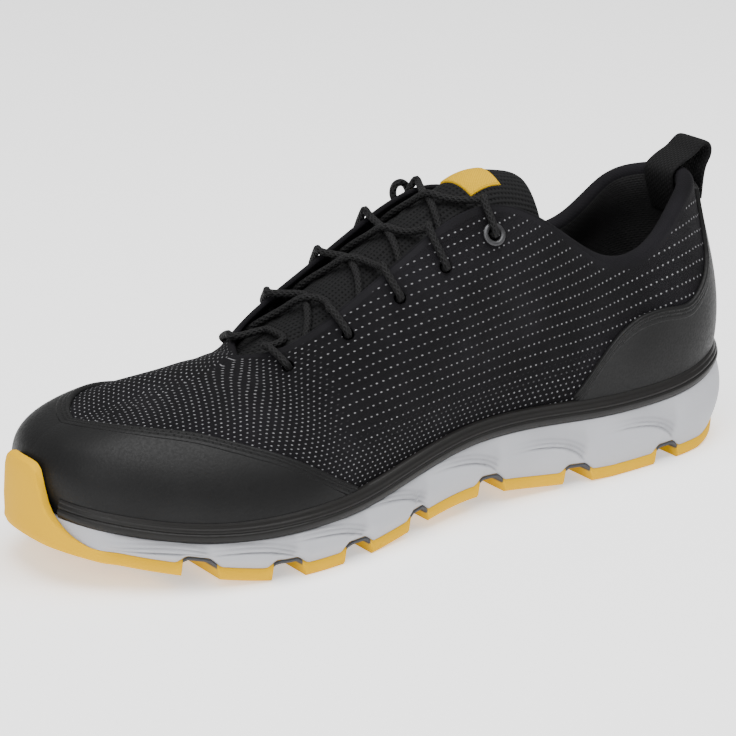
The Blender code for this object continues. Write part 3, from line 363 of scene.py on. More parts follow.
LOOP_ROUND = (0.35, 0.6)          # squareness of the webbing's section, across and through
TONGUE_PLEATS = 9
TONGUE_PUCKER = 0.0003
PUCKER_END = (4.6, 0.8)           # row where the puckers fade, and over how much
PUCKER_LEAN = (1.3, 0.35)         # slant of the puckers, and the row between two laces
TONGUE_ROLL = 0.35                # rows over which its top end rounds over
PATCH_ROWS = (5.25, 6.20)
PATCH_SIDES = (0.42, -0.36)
PATCH_THICKNESS = 0.0006
PATCH_ROLL = 0.0008
PATCH_SINK = (0.0001, 0.0004)     # over the tongue's surface, and below it inside
EDGE_BEVEL = 0.00045              # of the outsole's edges
BUMPER_FACE = (0.96, 0.06, 10)    # first and last share of its height with a row of points, and rows
BUMPER_ROUND = (0.75, 1.6)        # share of its thickness at the top, and growth down from there
LUG_FACE = ((1.0, 1.0, 1 / 3), (0.8, 0.6, 0.8), (0.5, -1.0, 1.0))   # shares of bumper, bulge and height
RIM_STEPS = 11                    # points round the rolled edge of the collar and throat
LINING_STEPS = 25                 # points up the lining
TONGUE_GRID = (220, 81)
PATCH_GRID = (25, 49)
RING_GRID = (49, 17)
LOOP_GRID = (121, 41)
UPPER_DETAIL = 14                 # ribs to each row of the tables
SOLE_DETAIL = 30
TREAD_DETAIL = 12
PICTURE = 736                     # width and height of the picture in pixels

# Creases of the knit: station, share, reach along and up, depth in metres, slant of stations up the rib
CREASES = (
    (9.2, 0.55, 0.20, 0.30, -0.0006, 0.9),
    (9.9, 0.62, 0.22, 0.26, 0.0005, 0.9),
    (10.5, 0.70, 0.24, 0.22, -0.0005, 0.8),
    (7.9, 0.50, 0.34, 0.30, -0.0005, 0.6),
    (6.2, 0.45, 0.60, 0.24, -0.0009, 0.0),
    (5.2, 0.72, 0.50, 0.16, 0.0006, 0.0),
    (4.3, 0.50, 0.45, 0.20, -0.0005, 0.0),
)

CAMERA_TARGET = (0.1005, 0.0, 0.045)
CAMERA_DISTANCE = 1.1061
CAMERA_ANGLES = (34.14, 19.02, -0.35)   # turn from +Y towards +X, height and roll in degrees
CAMERA_OFFSET = (15.15, 11.53)          # of the picture's middle, in pixels right and down


def column(table, columns, name):
    """One named column of a table, as numbers."""
    place = columns.index(name)
    return np.array([row[place] for row in table], float)


def curve_through(points, closed=False):
    """Smooth curve whose parameter is the row number of the points that it runs through."""
    values = np.asarray(points, float)
    count = len(values)
    matrix = np.zeros((count, count))
    target = np.zeros_like(values)
    for row in range(count):
        before, after = row - 1, row + 1
        if closed:
            before, after = before % count, after % count
            matrix[row, [before, row, after]] += (1, 4, 1)
            target[row] = 3 * (values[after] - values[before])
        elif row in (0, count - 1):
            inner = 1 if row == 0 else count - 2
            matrix[row, [row, inner]] = (2, 1)
            target[row] = 3 * (values[inner] - values[row]) * (1 if row == 0 else -1)
        else:
            matrix[row, [before, row, after]] = (1, 4, 1)
            target[row] = 3 * (values[after] - values[before])
    slopes = np.linalg.solve(matrix, target)

    def at(place):
        place = np.asarray(place, float)
        place = place % count if closed else np.clip(place, 0, count - 1)
        low = np.floor(place).astype(int)
        if not closed:
            low = np.minimum(low, count - 2)
        part = place - low
        low = low % count
        high = (low + 1) % count
        if values.ndim > 1:
            part = part[..., None]
        return ((2 * part ** 3 - 3 * part ** 2 + 1) * values[low]
                + (part ** 3 - 2 * part ** 2 + part) * slopes[low]
                + (3 * part ** 2 - 2 * part ** 3) * values[high]
                + (part ** 3 - part ** 2) * slopes[high])
    return at


def round_the_shoe(table, columns, lateral, medial):
    """Closed curve through a lateral column and, back along the other side, a medial column."""
    there = column(table, columns, lateral)
    back = column(table, columns, medial)[-2:0:-1]
    return curve_through(np.concatenate([there, back]), closed=True)


def soft_step(value):
    """Rises smoothly from 0 to 1 while its value does."""
    value = np.clip(value, 0, 1)
    return value * value * (3 - 2 * value)


def rounded(share):
    """Height of a quarter circle over its foot: 0 at share 0, 1 from share 1 on."""
    return np.sqrt(np.clip(1 - (1 - np.clip(share, 0, 1)) ** 2, 0, 1))


def unit(vectors):
    return vectors / np.linalg.norm(vectors, axis=-1, keepdims=True)


def stack(x, y, z):
    return np.stack(np.broadcast_arrays(x, y, z), -1)


outline_along = round_the_shoe(OUTLINE, OUTLINE_COLUMNS, "along", "along")
outline_out = round_the_shoe(OUTLINE, OUTLINE_COLUMNS, "lateral", "medial")
bed_share = round_the_shoe(SOLE_ROWS, SOLE_COLUMNS, "bed_lateral", "bed_medial")
tread_share = round_the_shoe(SOLE_ROWS, SOLE_COLUMNS, "tread", "tread")
rib_columns = {name: round_the_shoe(RIBS, RIB_COLUMNS, name, name) for name in RIB_COLUMNS}


def outline(station):
    """Plan point of the midsole's top edge."""
    return np.stack([outline_along(station) * SOLE_LENGTH - HEEL_SEAT,
                     outline_out(station) * BALL_WIDTH], -1)


def outward(station):
    """Plan direction that points out of the shoe at a station."""
    step = 0.01
    run = unit(outline(np.asarray(station) + step) - outline(np.asarray(station) - step))
    return np.stack([-run[..., 1], run[..., 0]], -1)


def level_outward(stations):
    """The same direction in space."""
    return np.concatenate([outward(stations), np.zeros((len(stations), 1))], 1)


def edge_point(station, out, height):
    """Point at a distance outside the midsole's top edge, at a height."""
    plan = outline(station) + outward(station) * np.asarray(out)[..., None]
    return stack(plan[..., 0], plan[..., 1], height)


def bed(station):
    """Height of the midsole's top edge."""
    return bed_share(station) * BED_HEIGHT


def tread(station):
    """Height of the tread, flat on the floor at heel and forefoot."""
    return np.maximum(tread_share(station), 0) * TOE_SPRING


def points_of(table, columns, names):
    """Points of a table, in metres, from its shares of the shoe's sizes along, out and up."""
    along, out, up = (column(table, columns, name) for name in names)
    return np.stack([along * SOLE_LENGTH - HEEL_SEAT, out * BALL_WIDTH,
                     up * UPPER_HEIGHT + BED_HEIGHT], -1)


# Free edge of the upper from the medial front of the throat, round the heel, to the lateral front
rim = curve_through(np.concatenate([
    points_of(RIM, RIM_COLUMNS, ("med_along", "med_out", "med_up"))[:0:-1],
    points_of(RIM, RIM_COLUMNS, ("lat_along", "lat_out", "lat_up"))]))
# Crest of the vamp, from the throat to the toe
ridge = curve_through(points_of(RIDGE, RIDGE_COLUMNS, RIDGE_COLUMNS))


def wrap(station):
    """The same station between the middle of the toe on the medial side and on the lateral side."""
    return (np.asarray(station, float) + LAST_ROW) % LOOP_ROWS - LAST_ROW


def top_point(station):
    """Upper end of a rib: on the free edge, or on the crest in front of the throat."""
    row = np.abs(station)
    free = rim(np.clip(station, -THROAT_ROW, THROAT_ROW) + THROAT_ROW)
    crest = ridge(np.maximum(row - THROAT_ROW, 0))
    return np.where((row < THROAT_ROW)[..., None], free, crest)


def ridge_slope(station):
    """Rise of the crest for each metre towards the toe."""
    step = 0.02
    place = np.clip(np.abs(station) - THROAT_ROW, step, LAST_ROW - THROAT_ROW - step)
    run = ridge(place + step) - ridge(place - step)
    return run[..., 2] / run[..., 0]


def skin(station, share):
    """Point on the outside of the upper: station round the shoe, share 0 at the sole to 1 on top."""
    station = wrap(station)
    foot = edge_point(station, np.full(station.shape, -UPPER_INSET), bed(station) + CLEARANCE)
    top = top_point(station)
    length = np.linalg.norm(top - foot, axis=-1)
    out = outward(station)
    flare, lean = (np.radians(rib_columns[name](station)) for name in ("flare", "lean"))
    rise, reach = (rib_columns[name](station) * length for name in ("rise", "reach"))
    start = stack(out[..., 0] * np.sin(flare), out[..., 1] * np.sin(flare), np.cos(flare))
    on_crest = soft_step((np.abs(station) - THROAT_ROW + 1))
    tilt = np.cos(lean) - on_crest * out[..., 0] * ridge_slope(station)
    finish = stack(-out[..., 0] * np.sin(lean), -out[..., 1] * np.sin(lean), tilt)
    first = foot + start * rise[..., None]
    second = top - finish * reach[..., None]
    part = np.asarray(share, float)[..., None]
    rest = 1 - part
    return (rest ** 3 * foot + 3 * rest ** 2 * part * first
            + 3 * rest * part ** 2 * second + part ** 3 * top)


def skin_normal(station, share):
    """Direction out of the upper's surface."""
    station, share = np.broadcast_arrays(np.asarray(station, float), np.asarray(share, float))
    step = 0.01
    low, high = np.clip(share - step, 0, 1), np.clip(share + step, 0, 1)
    up = skin(station, high) - skin(station, low)
    round_ = skin(station + step, share) - skin(station - step, share)
    normal = np.cross(up, round_)
    crest = stack(-ridge_slope(wrap(station)), 0.0, 1.0)
    on_crest = (np.abs(wrap(station)) > THROAT_ROW - step) & (share > 1 - step)
    return unit(np.where(on_crest[..., None], crest, normal))


def off_skin(station, share, distance):
    """Point at a distance outside the upper's surface."""
    station, share = np.broadcast_arrays(np.asarray(station, float), np.asarray(share, float))
    return skin(station, share) + skin_normal(station, share) * np.asarray(distance)[..., None]


def wall(station, share):
    """Thickness of the upper: thin cloth, padded towards the collar's edge."""
    round_collar = 1 - soft_step((np.abs(wrap(station)) - COLLAR_END) / COLLAR_FADE)
    near_edge = soft_step((share - 1 + COLLAR_DEPTH) / COLLAR_DEPTH)
    return UPPER_WALL + (COLLAR_WALL - UPPER_WALL) * round_collar * near_edge


def share_at(station, height):
    """Share of a rib at which it has risen to a height above its foot."""
    shares = np.linspace(0, 1, 201)
    found = []
    for place in np.atleast_1d(station):
        line = skin(np.full(shares.shape, place), shares)
        rise = np.maximum.accumulate(line[:, 2] - line[0, 2])
        found.append(np.interp(height, rise, shares))
    return np.array(found)


def station_at(along):
    """Lateral station whose edge point lies at a share of the sole's length."""
    stations = np.linspace(0, LAST_ROW, 1501)
    return float(np.interp(along, outline_along(stations), stations))


def add_grid(mesh, points, maps=(), slot=0):
    """Grid of faces with its corners at points[i, j]. Each map gives the corners' places by name."""
    rows, columns = points.shape[0] - 1, points.shape[1] - 1
    layers = [(mesh.loops.layers.uv[name], values) for name, values in maps]
    made = bmesh.ops.create_grid(mesh, x_segments=rows, y_segments=columns, size=0.5)["verts"]
    low = min(vert.co.x for vert in made)
    high = max(vert.co.x for vert in made)
    places = {}
    for vert in made:
        i = round((vert.co.x - low) / (high - low) * rows)
        j = round((vert.co.y - low) / (high - low) * columns)
        places[vert] = (i, j)
    for vert, place in places.items():
        vert.co = points[place]
    for face in {face for vert in made for face in vert.link_faces}:
        face.material_index = slot
        face.smooth = True
        for loop in face.loops:
            for layer, values in layers:
                loop[layer].uv = values[places[loop.vert]]
    return made


def new_mesh(*maps):
    """Empty bmesh with the named maps."""
    mesh = bmesh.new()
    for name in maps:
        mesh.loops.layers.uv.new(name)
    return mesh


def add_object(name, data):
    """Object in the scene, with a light's or camera's data or with a bmesh, which is used up."""
    if isinstance(data, bmesh.types.BMesh):
        mesh, data = data, bpy.data.meshes.new(name)
        mesh.to_mesh(data)
        mesh.free()
    made = bpy.data.objects.new(name, data)
    bpy.context.scene.collection.objects.link(made)
    return made


def finish_piece(name, mesh, finishes, nodes=(), merge=1e-6, sharp=None):
    """Object from a bmesh, riding on the shoe, with its finishes and the nodes that it stands for."""
    bmesh.ops.remove_doubles(mesh, verts=mesh.verts, dist=merge)
    bmesh.ops.dissolve_degenerate(mesh, dist=merge / 2, edges=mesh.edges)
    bmesh.ops.recalc_face_normals(mesh, faces=mesh.faces)
    piece = add_object(name, mesh)
    for finish in finishes:
        piece.data.materials.append(finish)
    if sharp is not None:
        piece.data.set_sharp_from_angle(angle=math.radians(sharp))
    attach(piece, "root")
    if nodes:
        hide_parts(*nodes)
    return piece


def tube_points(points, radius, count, sides):
    """Rings of points round a smooth curve, evenly spaced, and how far along and round each lies."""
    route = curve_through(points)
    dense = np.linspace(0, len(points) - 1, 400)
    line = route(dense)
    run = np.concatenate([[0], np.cumsum(np.linalg.norm(np.diff(line, axis=0), axis=1))])
    places = np.interp(np.linspace(0, run[-1], count + 1), run, dense)
    middle = route(places)
    ahead = unit(np.gradient(middle, axis=0))
    side = np.array([0.0, 0.0, 1.0])
    rings = np.empty((count + 1, sides + 1, 3))
    maps = np.empty((count + 1, sides + 1, 2))
    for row in range(count + 1):
        side = unit(side - ahead[row] * np.dot(side, ahead[row]))
        other = np.cross(ahead[row], side)
        turn = np.linspace(0, 2 * math.pi, sides + 1)[:, None]
        rings[row] = middle[row] + radius * (side * np.cos(turn) + other * np.sin(turn))
        maps[row, :, 0] = run[-1] * row / count
        maps[row, :, 1] = turn[:, 0] / (2 * math.pi)
    return rings, maps, middle


def add_tube(mesh, points, count):
    """Lace with rounded ends."""
    radius = LACE_DIAMETER / 2
    rings, maps, middle = tube_points(points, radius, count, LACE_SIDES)
    ends = []
    for row, inside in ((0, 1), (-1, -2)):
        ahead = unit(middle[row] - middle[inside]) * radius * LACE_CAP
        ends.append([middle[row] + (rings[row] - middle[row]) * math.cos(turn) + ahead * math.sin(turn)
                     for turn in np.radians(CAP_TURNS)])
    rings = np.concatenate([ends[0], rings, ends[1][::-1]])
    first, last = (np.repeat(maps[row:row + 1 or None], len(CAP_TURNS), axis=0) for row in (0, -1))
    maps = np.concatenate([first, maps, last])
    add_grid(mesh, rings, [("cloth", maps)])
    return middle


def borders(outer, inner):
    """Strips that join the four sides of two grids."""
    return [np.stack([outer[side], inner[side]], 1) for side in (np.s_[:, 0], np.s_[:, -1], 0, -1)]


def close_end(mesh, ring, maps=()):
    """Closes a ring of points with a fan of faces."""
    middle = np.repeat(ring.mean(0)[None], len(ring), axis=0)
    add_grid(mesh, np.stack([ring, middle], 1), [(name, np.zeros((len(ring), 2, 2))) for name in maps])


def arc_along(points, axis):
    """Distance run along one axis of a grid of points."""
    steps = np.linalg.norm(np.diff(points, axis=axis), axis=-1)
    start = np.zeros_like(np.take(steps, [0], axis=axis))
    return np.concatenate([start, np.cumsum(steps, axis=axis)], axis=axis)


def relief(station, share):
    """Soft creases and hollows of the upper: station, share, reach of each, and depth."""
    depth = np.zeros(np.shape(station))
    for station_, share_, long_, tall, height, slant in CREASES:
        for side in (1, -1):
            at = np.where(station * side > 0, np.abs(station), 99.0)
            moved = at - station_ - slant * (share - share_)
            depth = depth + height * np.exp(-(moved / long_) ** 2 - ((share - share_) / tall) ** 2)
    return depth


def upper_skin(station, share, distance=0.0):
    """The upper's surface with its creases."""
    return off_skin(station, share, relief(station, share) + distance)


def knit_map(points, station, foot):
    """Places on the knit in metres: along the shoe, and up from the floor over the upper."""
    steps = np.diff(points, axis=0)
    near_heel = np.abs(station[1:]) < KNIT_TURNS
    run = np.where(near_heel, np.linalg.norm(steps, axis=-1), np.abs(steps[..., 0]))
    along = np.concatenate([np.zeros((1, points.shape[1])), np.cumsum(run, axis=0)])
    middle = np.abs(station[:, 0]).argmin()
    along = along - along[middle]
    tilt = 1 + KNIT_TILT[0] * (np.clip(points[..., 0], *KNIT_TILT[1:]) - KNIT_TILT[1] / 2 - KNIT_TILT[2] / 2)
    up = foot[:, None] + arc_along(points, 1) * tilt
    over = points[..., 2] + BALL_WIDTH / 2 - np.abs(points[..., 1])
    up = up + soft_step((points[..., 0] - KNIT_TOE[0]) / KNIT_TOE[1]) * (over * KNIT_TOE[2] - up)
    return np.stack([along, up], -1)


def make_upper_piece(finishes):
    """Knitted upper with padded collar, punched eyelets, rim and lining."""
    stations = np.linspace(-LAST_ROW, LAST_ROW, 2 * LAST_ROW * UPPER_DETAIL + 1)
    shares = np.concatenate([np.linspace(0, 0.9, 46), np.linspace(0.9, 1.0, 13)[1:]])
    station, share = np.meshgrid(stations, shares, indexing="ij")
    outer = upper_skin(station, share)
    inner_shares = np.linspace(1, 0, LINING_STEPS)
    lining_station, lining_share = np.meshgrid(stations, inner_shares, indexing="ij")
    inner = upper_skin(lining_station, lining_share, -wall(lining_station, lining_share))
    middle, half = (outer[:, -1] + inner[:, 0]) / 2, (outer[:, -1] - inner[:, 0]) / 2
    along = np.where((np.abs(stations) >= THROAT_ROW - 0.01)[:, None], ridge(0.0) - ridge(0.05),
                     outer[:, -1] - outer[:, -4])
    size = np.linalg.norm(half, axis=-1, keepdims=True)
    across = unit(half)
    along = unit(along - across * np.sum(along * across, -1, keepdims=True)) * size
    turns = np.radians(np.linspace(0, 180, RIM_STEPS))
    rim_points = np.stack([middle + half * math.cos(turn) + along * math.sin(turn) for turn in turns], 1)
    rim_points[:, 0], rim_points[:, -1] = outer[:, -1], inner[:, 0]
    mesh = new_mesh("cloth", "edge", "rows")
    knit = knit_map(outer, station, bed(stations))
    edge = arc_along(outer, 1)
    edge = np.stack([knit[..., 0], edge[:, -1:] - edge + (np.abs(station) > THROAT_ROW + 0.01)], -1)
    row = np.abs(station)
    low = 1 - soft_step((knit[..., 1] - KNIT_DENSE[0]) / KNIT_DENSE[1])
    front = soft_step((outer[..., 0] - KNIT_FRONT[0]) / KNIT_FRONT[1])
    shown = soft_step((row - KNIT_BACK[0] - KNIT_BACK[1] * share) / KNIT_BACK[2])
    rows = np.stack([np.maximum(low, front), shown], -1)
    add_grid(mesh, outer, [("cloth", knit), ("edge", edge), ("rows", rows)])
    open_ = np.abs(stations) <= THROAT_ROW + 1e-6
    first = int(np.argmax(open_))
    last = len(stations) - 1 - int(np.argmax(open_[::-1]))
    band = rim_points[first:last + 1]
    run = np.stack([np.repeat(knit[first:last + 1, -1, :1], len(turns), axis=1),
                    -arc_along(band, 1)], -1)
    add_grid(mesh, band, [("cloth", run), ("edge", run), ("rows", run * 0)], 1)
    lining = np.stack([np.repeat(knit[:, -1, :1], len(inner_shares), axis=1), arc_along(inner, 1)], -1)
    add_grid(mesh, inner, [("cloth", lining), ("edge", lining), ("rows", lining * 0)], 2)
    foot = np.stack([outer[:, 0], inner[:, -1]], 1)
    under = np.zeros((len(stations), 2, 2))
    add_grid(mesh, foot, [("cloth", under), ("edge", under), ("rows", under)], 2)
    piece = finish_piece("knit_upper", mesh, finishes, ["upper"])
    punch_eyelets(piece)
    return piece


def eyelet(index, sign):
    """Place and outward direction of an eyelet."""
    station, share = EYELETS[index]
    return skin(np.array(sign * station), np.array(share)), skin_normal(sign * station, share)


def punch_eyelets(upper):
    """Cuts the eyelet holes with one Boolean and keeps its result."""
    mesh = bmesh.new()
    for index in range(len(EYELETS)):
        for sign in (1, -1):
            centre, away = eyelet(index, sign)
            turn = Vector((0, 0, 1)).rotation_difference(Vector(away)).to_matrix().to_4x4()
            bmesh.ops.create_cone(mesh, cap_ends=True, segments=24, radius1=EYELET_HOLE / 2,
                                  radius2=EYELET_HOLE / 2, depth=UPPER_WALL * 4,
                                  matrix=Matrix.Translation(centre) @ turn)
    punch = add_object("eyelet_punch", mesh)
    cut = upper.modifiers.new("eyelets", "BOOLEAN")
    cut.operation = "DIFFERENCE"
    cut.solver = "EXACT"
    cut.object = punch
    done = bpy.data.meshes.new_from_object(upper.evaluated_get(bpy.context.evaluated_depsgraph_get()))
    upper.modifiers.clear()
    upper.data = done
    bpy.data.objects.remove(punch)


def overlay_piece(name, stations, low, high, finishes, nodes):
    """Moulded overlay on the upper between two shares of each rib, its edge rounded over."""
    parts = np.concatenate([np.linspace(0, 0.75, 26), np.linspace(0.75, 1.0, 31)[1:]])
    share = low[:, None] + (high - low)[:, None] * parts
    station = np.repeat(stations[:, None], share.shape[1], axis=1)
    flat = skin(station, share)
    from_edge = arc_along(flat[:, ::-1], 1)[:, ::-1]
    run = arc_along(flat, 0)[:, -1:]
    ends = np.minimum(arc_along(flat, 0), arc_along(flat[::-1], 0)[::-1])
    thick = CAP_THICKNESS * rounded(from_edge / OVERLAY_ROLL) * rounded(ends / OVERLAY_ROLL)
    crease = relief(station, share)
    outer = off_skin(station, share, crease + OVERLAY_GAP + thick)
    inner = off_skin(station, share, crease + OVERLAY_GAP - SEAT_DEPTH)
    edge = np.stack([np.repeat(run, share.shape[1], axis=1), from_edge], -1)
    mesh = new_mesh("edge")
    add_grid(mesh, outer, [("edge", edge)])
    add_grid(mesh, inner, [("edge", edge)])
    for strip in borders(outer, inner):
        add_grid(mesh, strip, [("edge", np.zeros((*strip.shape[:2], 2)) - 1)])
    return finish_piece(name, mesh, finishes, nodes)


def overlay_edge(table, columns, station):
    """Smooth height of an overlay's edge at a station, as a share of the rib."""
    stations, shares = column(table, columns, "station"), column(table, columns, "share")
    place = np.interp(np.abs(station), stations, np.arange(len(stations)))
    return curve_through(shares)(place)


def make_toe_cap_piece(finishes):
    """Toe cap with its rolled, twice-stitched edge."""
    first = CAP_EDGE[0][0] + OVERLAY_MARGIN
    half = np.linspace(first, LAST_ROW, 150)
    stations = np.concatenate([half, -half[-2::-1]])
    low = np.where(np.abs(stations) > RAND_END, share_at(stations, CLEARANCE),
                   share_at(stations, RAND_HEIGHT * BEHIND_RAND))
    high = overlay_edge(CAP_EDGE, CAP_EDGE_COLUMNS, stations)
    return overlay_piece("moulded_toe_cap", stations, low, np.maximum(high, low + LEAST_OVERLAY),
                         finishes, ["toe_cap"])


def make_counter_piece(finishes):
    """Heel counter with the strip that runs up the back."""
    last = COUNTER_EDGE[-1][0] - OVERLAY_MARGIN
    half = np.concatenate([np.linspace(0, 1.2, 31), np.linspace(1.2, 2.1, 46)[1:],
                           np.linspace(2.1, last, 60)[1:]])
    stations = np.concatenate([-half[:0:-1], half])
    low = share_at(stations, RAND_HEIGHT * BEHIND_RAND)
    high = overlay_edge(COUNTER_EDGE, COUNTER_EDGE_COLUMNS, stations)
    return overlay_piece("moulded_heel_counter", stations, low, np.maximum(high, low + LEAST_OVERLAY),
                         finishes, ["heel_counter"])


def make_rand_piece(finishes):
    """Rubber band over the joint of upper and midsole, with a moulded groove along it."""
    half = np.linspace(0, RAND_END, 260)
    stations = np.concatenate([-half[:0:-1], half])
    tops = share_at(stations, RAND_HEIGHT)
    foot = bed(stations) + CLEARANCE
    face = [edge_point(stations, np.full(stations.shape, RAND_PROUD * out), foot + RAND_HEIGHT * up)
            for out, up in RAND_FACE]
    face.append(off_skin(stations, tops, CLEARANCE + RAND_EDGE))
    face = np.stack(face)
    route = curve_through(face.reshape(len(face), -1))
    parts = np.linspace(0, len(face) - 1, 25)
    outer = np.stack([route(part).reshape(-1, 3) for part in parts], 1)
    away = level_outward(stations)
    for place, depth, wide in RAND_GROOVES:
        cut = depth * np.exp(-((parts / parts[-1] - place) / wide) ** 2)
        outer = outer - away[:, None] * cut[None, :, None]
    inner = np.stack([off_skin(stations, tops * part, CLEARANCE / 2) for part in (1.0, 0.5, 0.0)], 1)
    ring = np.concatenate([outer, inner, outer[:, :1]], 1)
    mesh = new_mesh()
    add_grid(mesh, ring)
    for end in (ring[0], ring[-1]):
        close_end(mesh, end)
    return finish_piece("rubber_rand", mesh, finishes, ["rand"], sharp=50)


lug_rows = [(station_at(rear), station_at(front)) for rear, front in LUGS]


def notch_rise(station):
    """Share of the full notch height at a station, 1 between two lugs."""
    row = np.abs(wrap(station))
    rise = np.zeros(np.shape(row))
    for (_, rear), (front, _) in zip(lug_rows, lug_rows[1:]):
        middle, half = (rear + front) / 2, (front - rear) / 2
        rise = np.maximum(rise, np.clip(NOTCH_SPREAD - np.abs(row - middle) / half, 0, 1))
    return soft_step(rise)


def web_top(station):
    """Height of the joint between midsole and outsole."""
    return tread(station) + PAD_THICKNESS + notch_rise(station) * NOTCH_RISE


def bumper_rise(station):
    """Share of the bumper's full height at a station: 0 along the sides, 1 round the toe."""
    edge = curve_through(BUMPER_EDGE)(np.linspace(0, len(BUMPER_EDGE) - 1, 400))
    return np.interp(np.abs(wrap(station)), edge[:, 0], np.maximum(edge[:, 1], 0))


def waves(station, up, along, height):
    """Relief of the midsole's side: grooves that rise from each notch and sweep towards the toe."""
    row = np.abs(wrap(station))
    relief_ = np.zeros(np.shape(row))
    for (_, rear), (front, _) in zip(lug_rows, lug_rows[1:]):
        middle = (rear + front) / 2
        start = float(outline_along(np.array(middle))) * SOLE_LENGTH - HEEL_SEAT
        foot = float(web_top(np.array(middle)))
        tall = float(bed(np.array(middle))) - foot
        ahead = along - start
        left = np.exp(-np.clip(ahead + WAVE_BACK, 0, 1) / WAVE_TURN)
        path = foot + tall * WAVE_RISE * (1 - left)
        slope = tall * WAVE_RISE / WAVE_TURN * left
        gap = (height - path) / np.sqrt(1 + slope ** 2)
        shown = soft_step((ahead + WAVE_BACK) / WAVE_START)
        shown = shown * (1 - soft_step((ahead / WAVE_LENGTH - WAVE_HOLD) / (1 - WAVE_HOLD)))
        for number in range(WAVE_COUNT):
            width = WAVE_WIDTH * (1 + WAVE_GROWTH[0] * number)
            deep = WAVE_DEPTH * (1 - WAVE_GROWTH[1] * number)
            relief_ -= deep * shown * np.exp(-((gap - number * WAVE_PITCH) / width) ** 2)
        bank = soft_step(gap / WAVE_BANK[0]) * (1 - soft_step((gap - WAVE_BANK[1]) / WAVE_BANK[2]))
        relief_ -= WAVE_STEP * shown * bank
    return relief_ * soft_step(up / WAVE_FOOT)


def behind_bumper(station):
    """Share of the midsole's relief that shows: 1 along the sides, 0 under the bumper."""
    return 1 - soft_step((np.abs(wrap(station)) - BUMPER_START) / BELLY_FADE + 1)


def midsole_out(station, up):
    """How far the midsole's side stands out, at a share of its height."""
    tuck = SOLE_TUCK * (1 - up) ** 2
    return behind_bumper(station) * (BELLY * np.sin(math.pi * (1 - up)) - tuck)


def sole_steps(detail):
    """Stations of the sole on one side: even steps and the lugs' edges."""
    even = np.linspace(0, LAST_ROW, LAST_ROW * detail + 1)
    ends = []
    for rear, front in lug_rows:
        ends += [rear, rear + LUG_REAR_SLOPE, front - LUG_FRONT_CHAMFER, front]
    fixed = np.array(sorted(place for place in ends if 0 < place < LAST_ROW))
    spaced = [place for place in even if np.min(np.abs(fixed - place)) > 0.25 / detail]
    return np.unique([0.0, *fixed, *spaced, float(LAST_ROW)])


def both_sides(half):
    """The stations of one side, then those of the other back to the start."""
    return np.concatenate([half, -half[-2:0:-1], half[:1]])


def make_midsole_piece(finishes):
    """Foamed midsole with its waved side."""
    half = sole_steps(SOLE_DETAIL)
    stations = both_sides(half)
    ups = np.linspace(1, 0, 44)
    station, up = np.meshgrid(stations, ups, indexing="ij")
    high, low = bed(station), web_top(station) + CLEARANCE / 2
    height = low + (high - low) * up
    side = edge_point(station, midsole_out(station, up), height)
    shown = behind_bumper(station)
    raised = shown * waves(station, up, side[..., 0], height)
    side = edge_point(station, midsole_out(station, up) + raised, height)
    mesh = new_mesh("relief")
    # Depth of the wave grooves, kept in the 'relief' map; the foam's colour is darkened there as painted
    # shade
    groove = np.clip(-shown * waves(station, up, side[..., 0], height) / WAVE_DEPTH, 0, 1)
    add_grid(mesh, side, [("relief", np.stack([groove, up], -1))])
    for level in (0, -1):
        lateral, medial = side[:len(half), level], side[::-1][:len(half), level]
        add_grid(mesh, np.stack([lateral, (lateral + medial) / 2, medial], 1))
    return finish_piece("foam_midsole", mesh, finishes, ["midsole"], sharp=60)


def bumper_back(stations, height):
    """Points just outside whatever stands behind the bumper at a height of each station."""
    foot = bed(stations)
    up = np.clip((height - web_top(stations)) / (foot - web_top(stations)), 0, 1)
    out = np.maximum(midsole_out(stations, up), midsole_out(stations, 0 * up)) + CLEARANCE
    below = edge_point(stations, out, height)
    away = level_outward(stations)
    above = np.empty_like(below)
    for place, (station, level, base) in enumerate(zip(stations, height, foot)):
        here = np.array(station)
        share = share_at(here, max(level - base - CLEARANCE, 0.0))[0]
        point = off_skin(here, share, CAP_THICKNESS + 3 * CLEARANCE)
        point[2] = level
        edge = edge_point(here, np.array(0.0), level)
        short = CLEARANCE - float(np.dot(point - edge, away[place]))
        above[place] = point + away[place] * max(0.0, short)
    return np.where((height <= foot)[:, None], below, above)


def tread_height(stations, share):
    """Height of the outsole's underside: on a lug, or up on the web in a notch or groove."""
    row = np.abs(wrap(stations))
    on_lug = (row < 1e-6) | (row > LAST_ROW - 1e-6)
    for rear, front in lug_rows:
        on_lug |= (row > rear + LUG_REAR_SLOPE * 0.9) & (row < front - LUG_FRONT_CHAMFER * 0.9)
    groove = any(low <= share <= high for low, high in LUG_GROOVES)
    groove = groove & (row > GROOVE_ROWS[0]) & (row < GROOVE_ROWS[1])
    return np.where(on_lug & ~groove, tread(stations), web_top(stations) - WEB_THICKNESS)


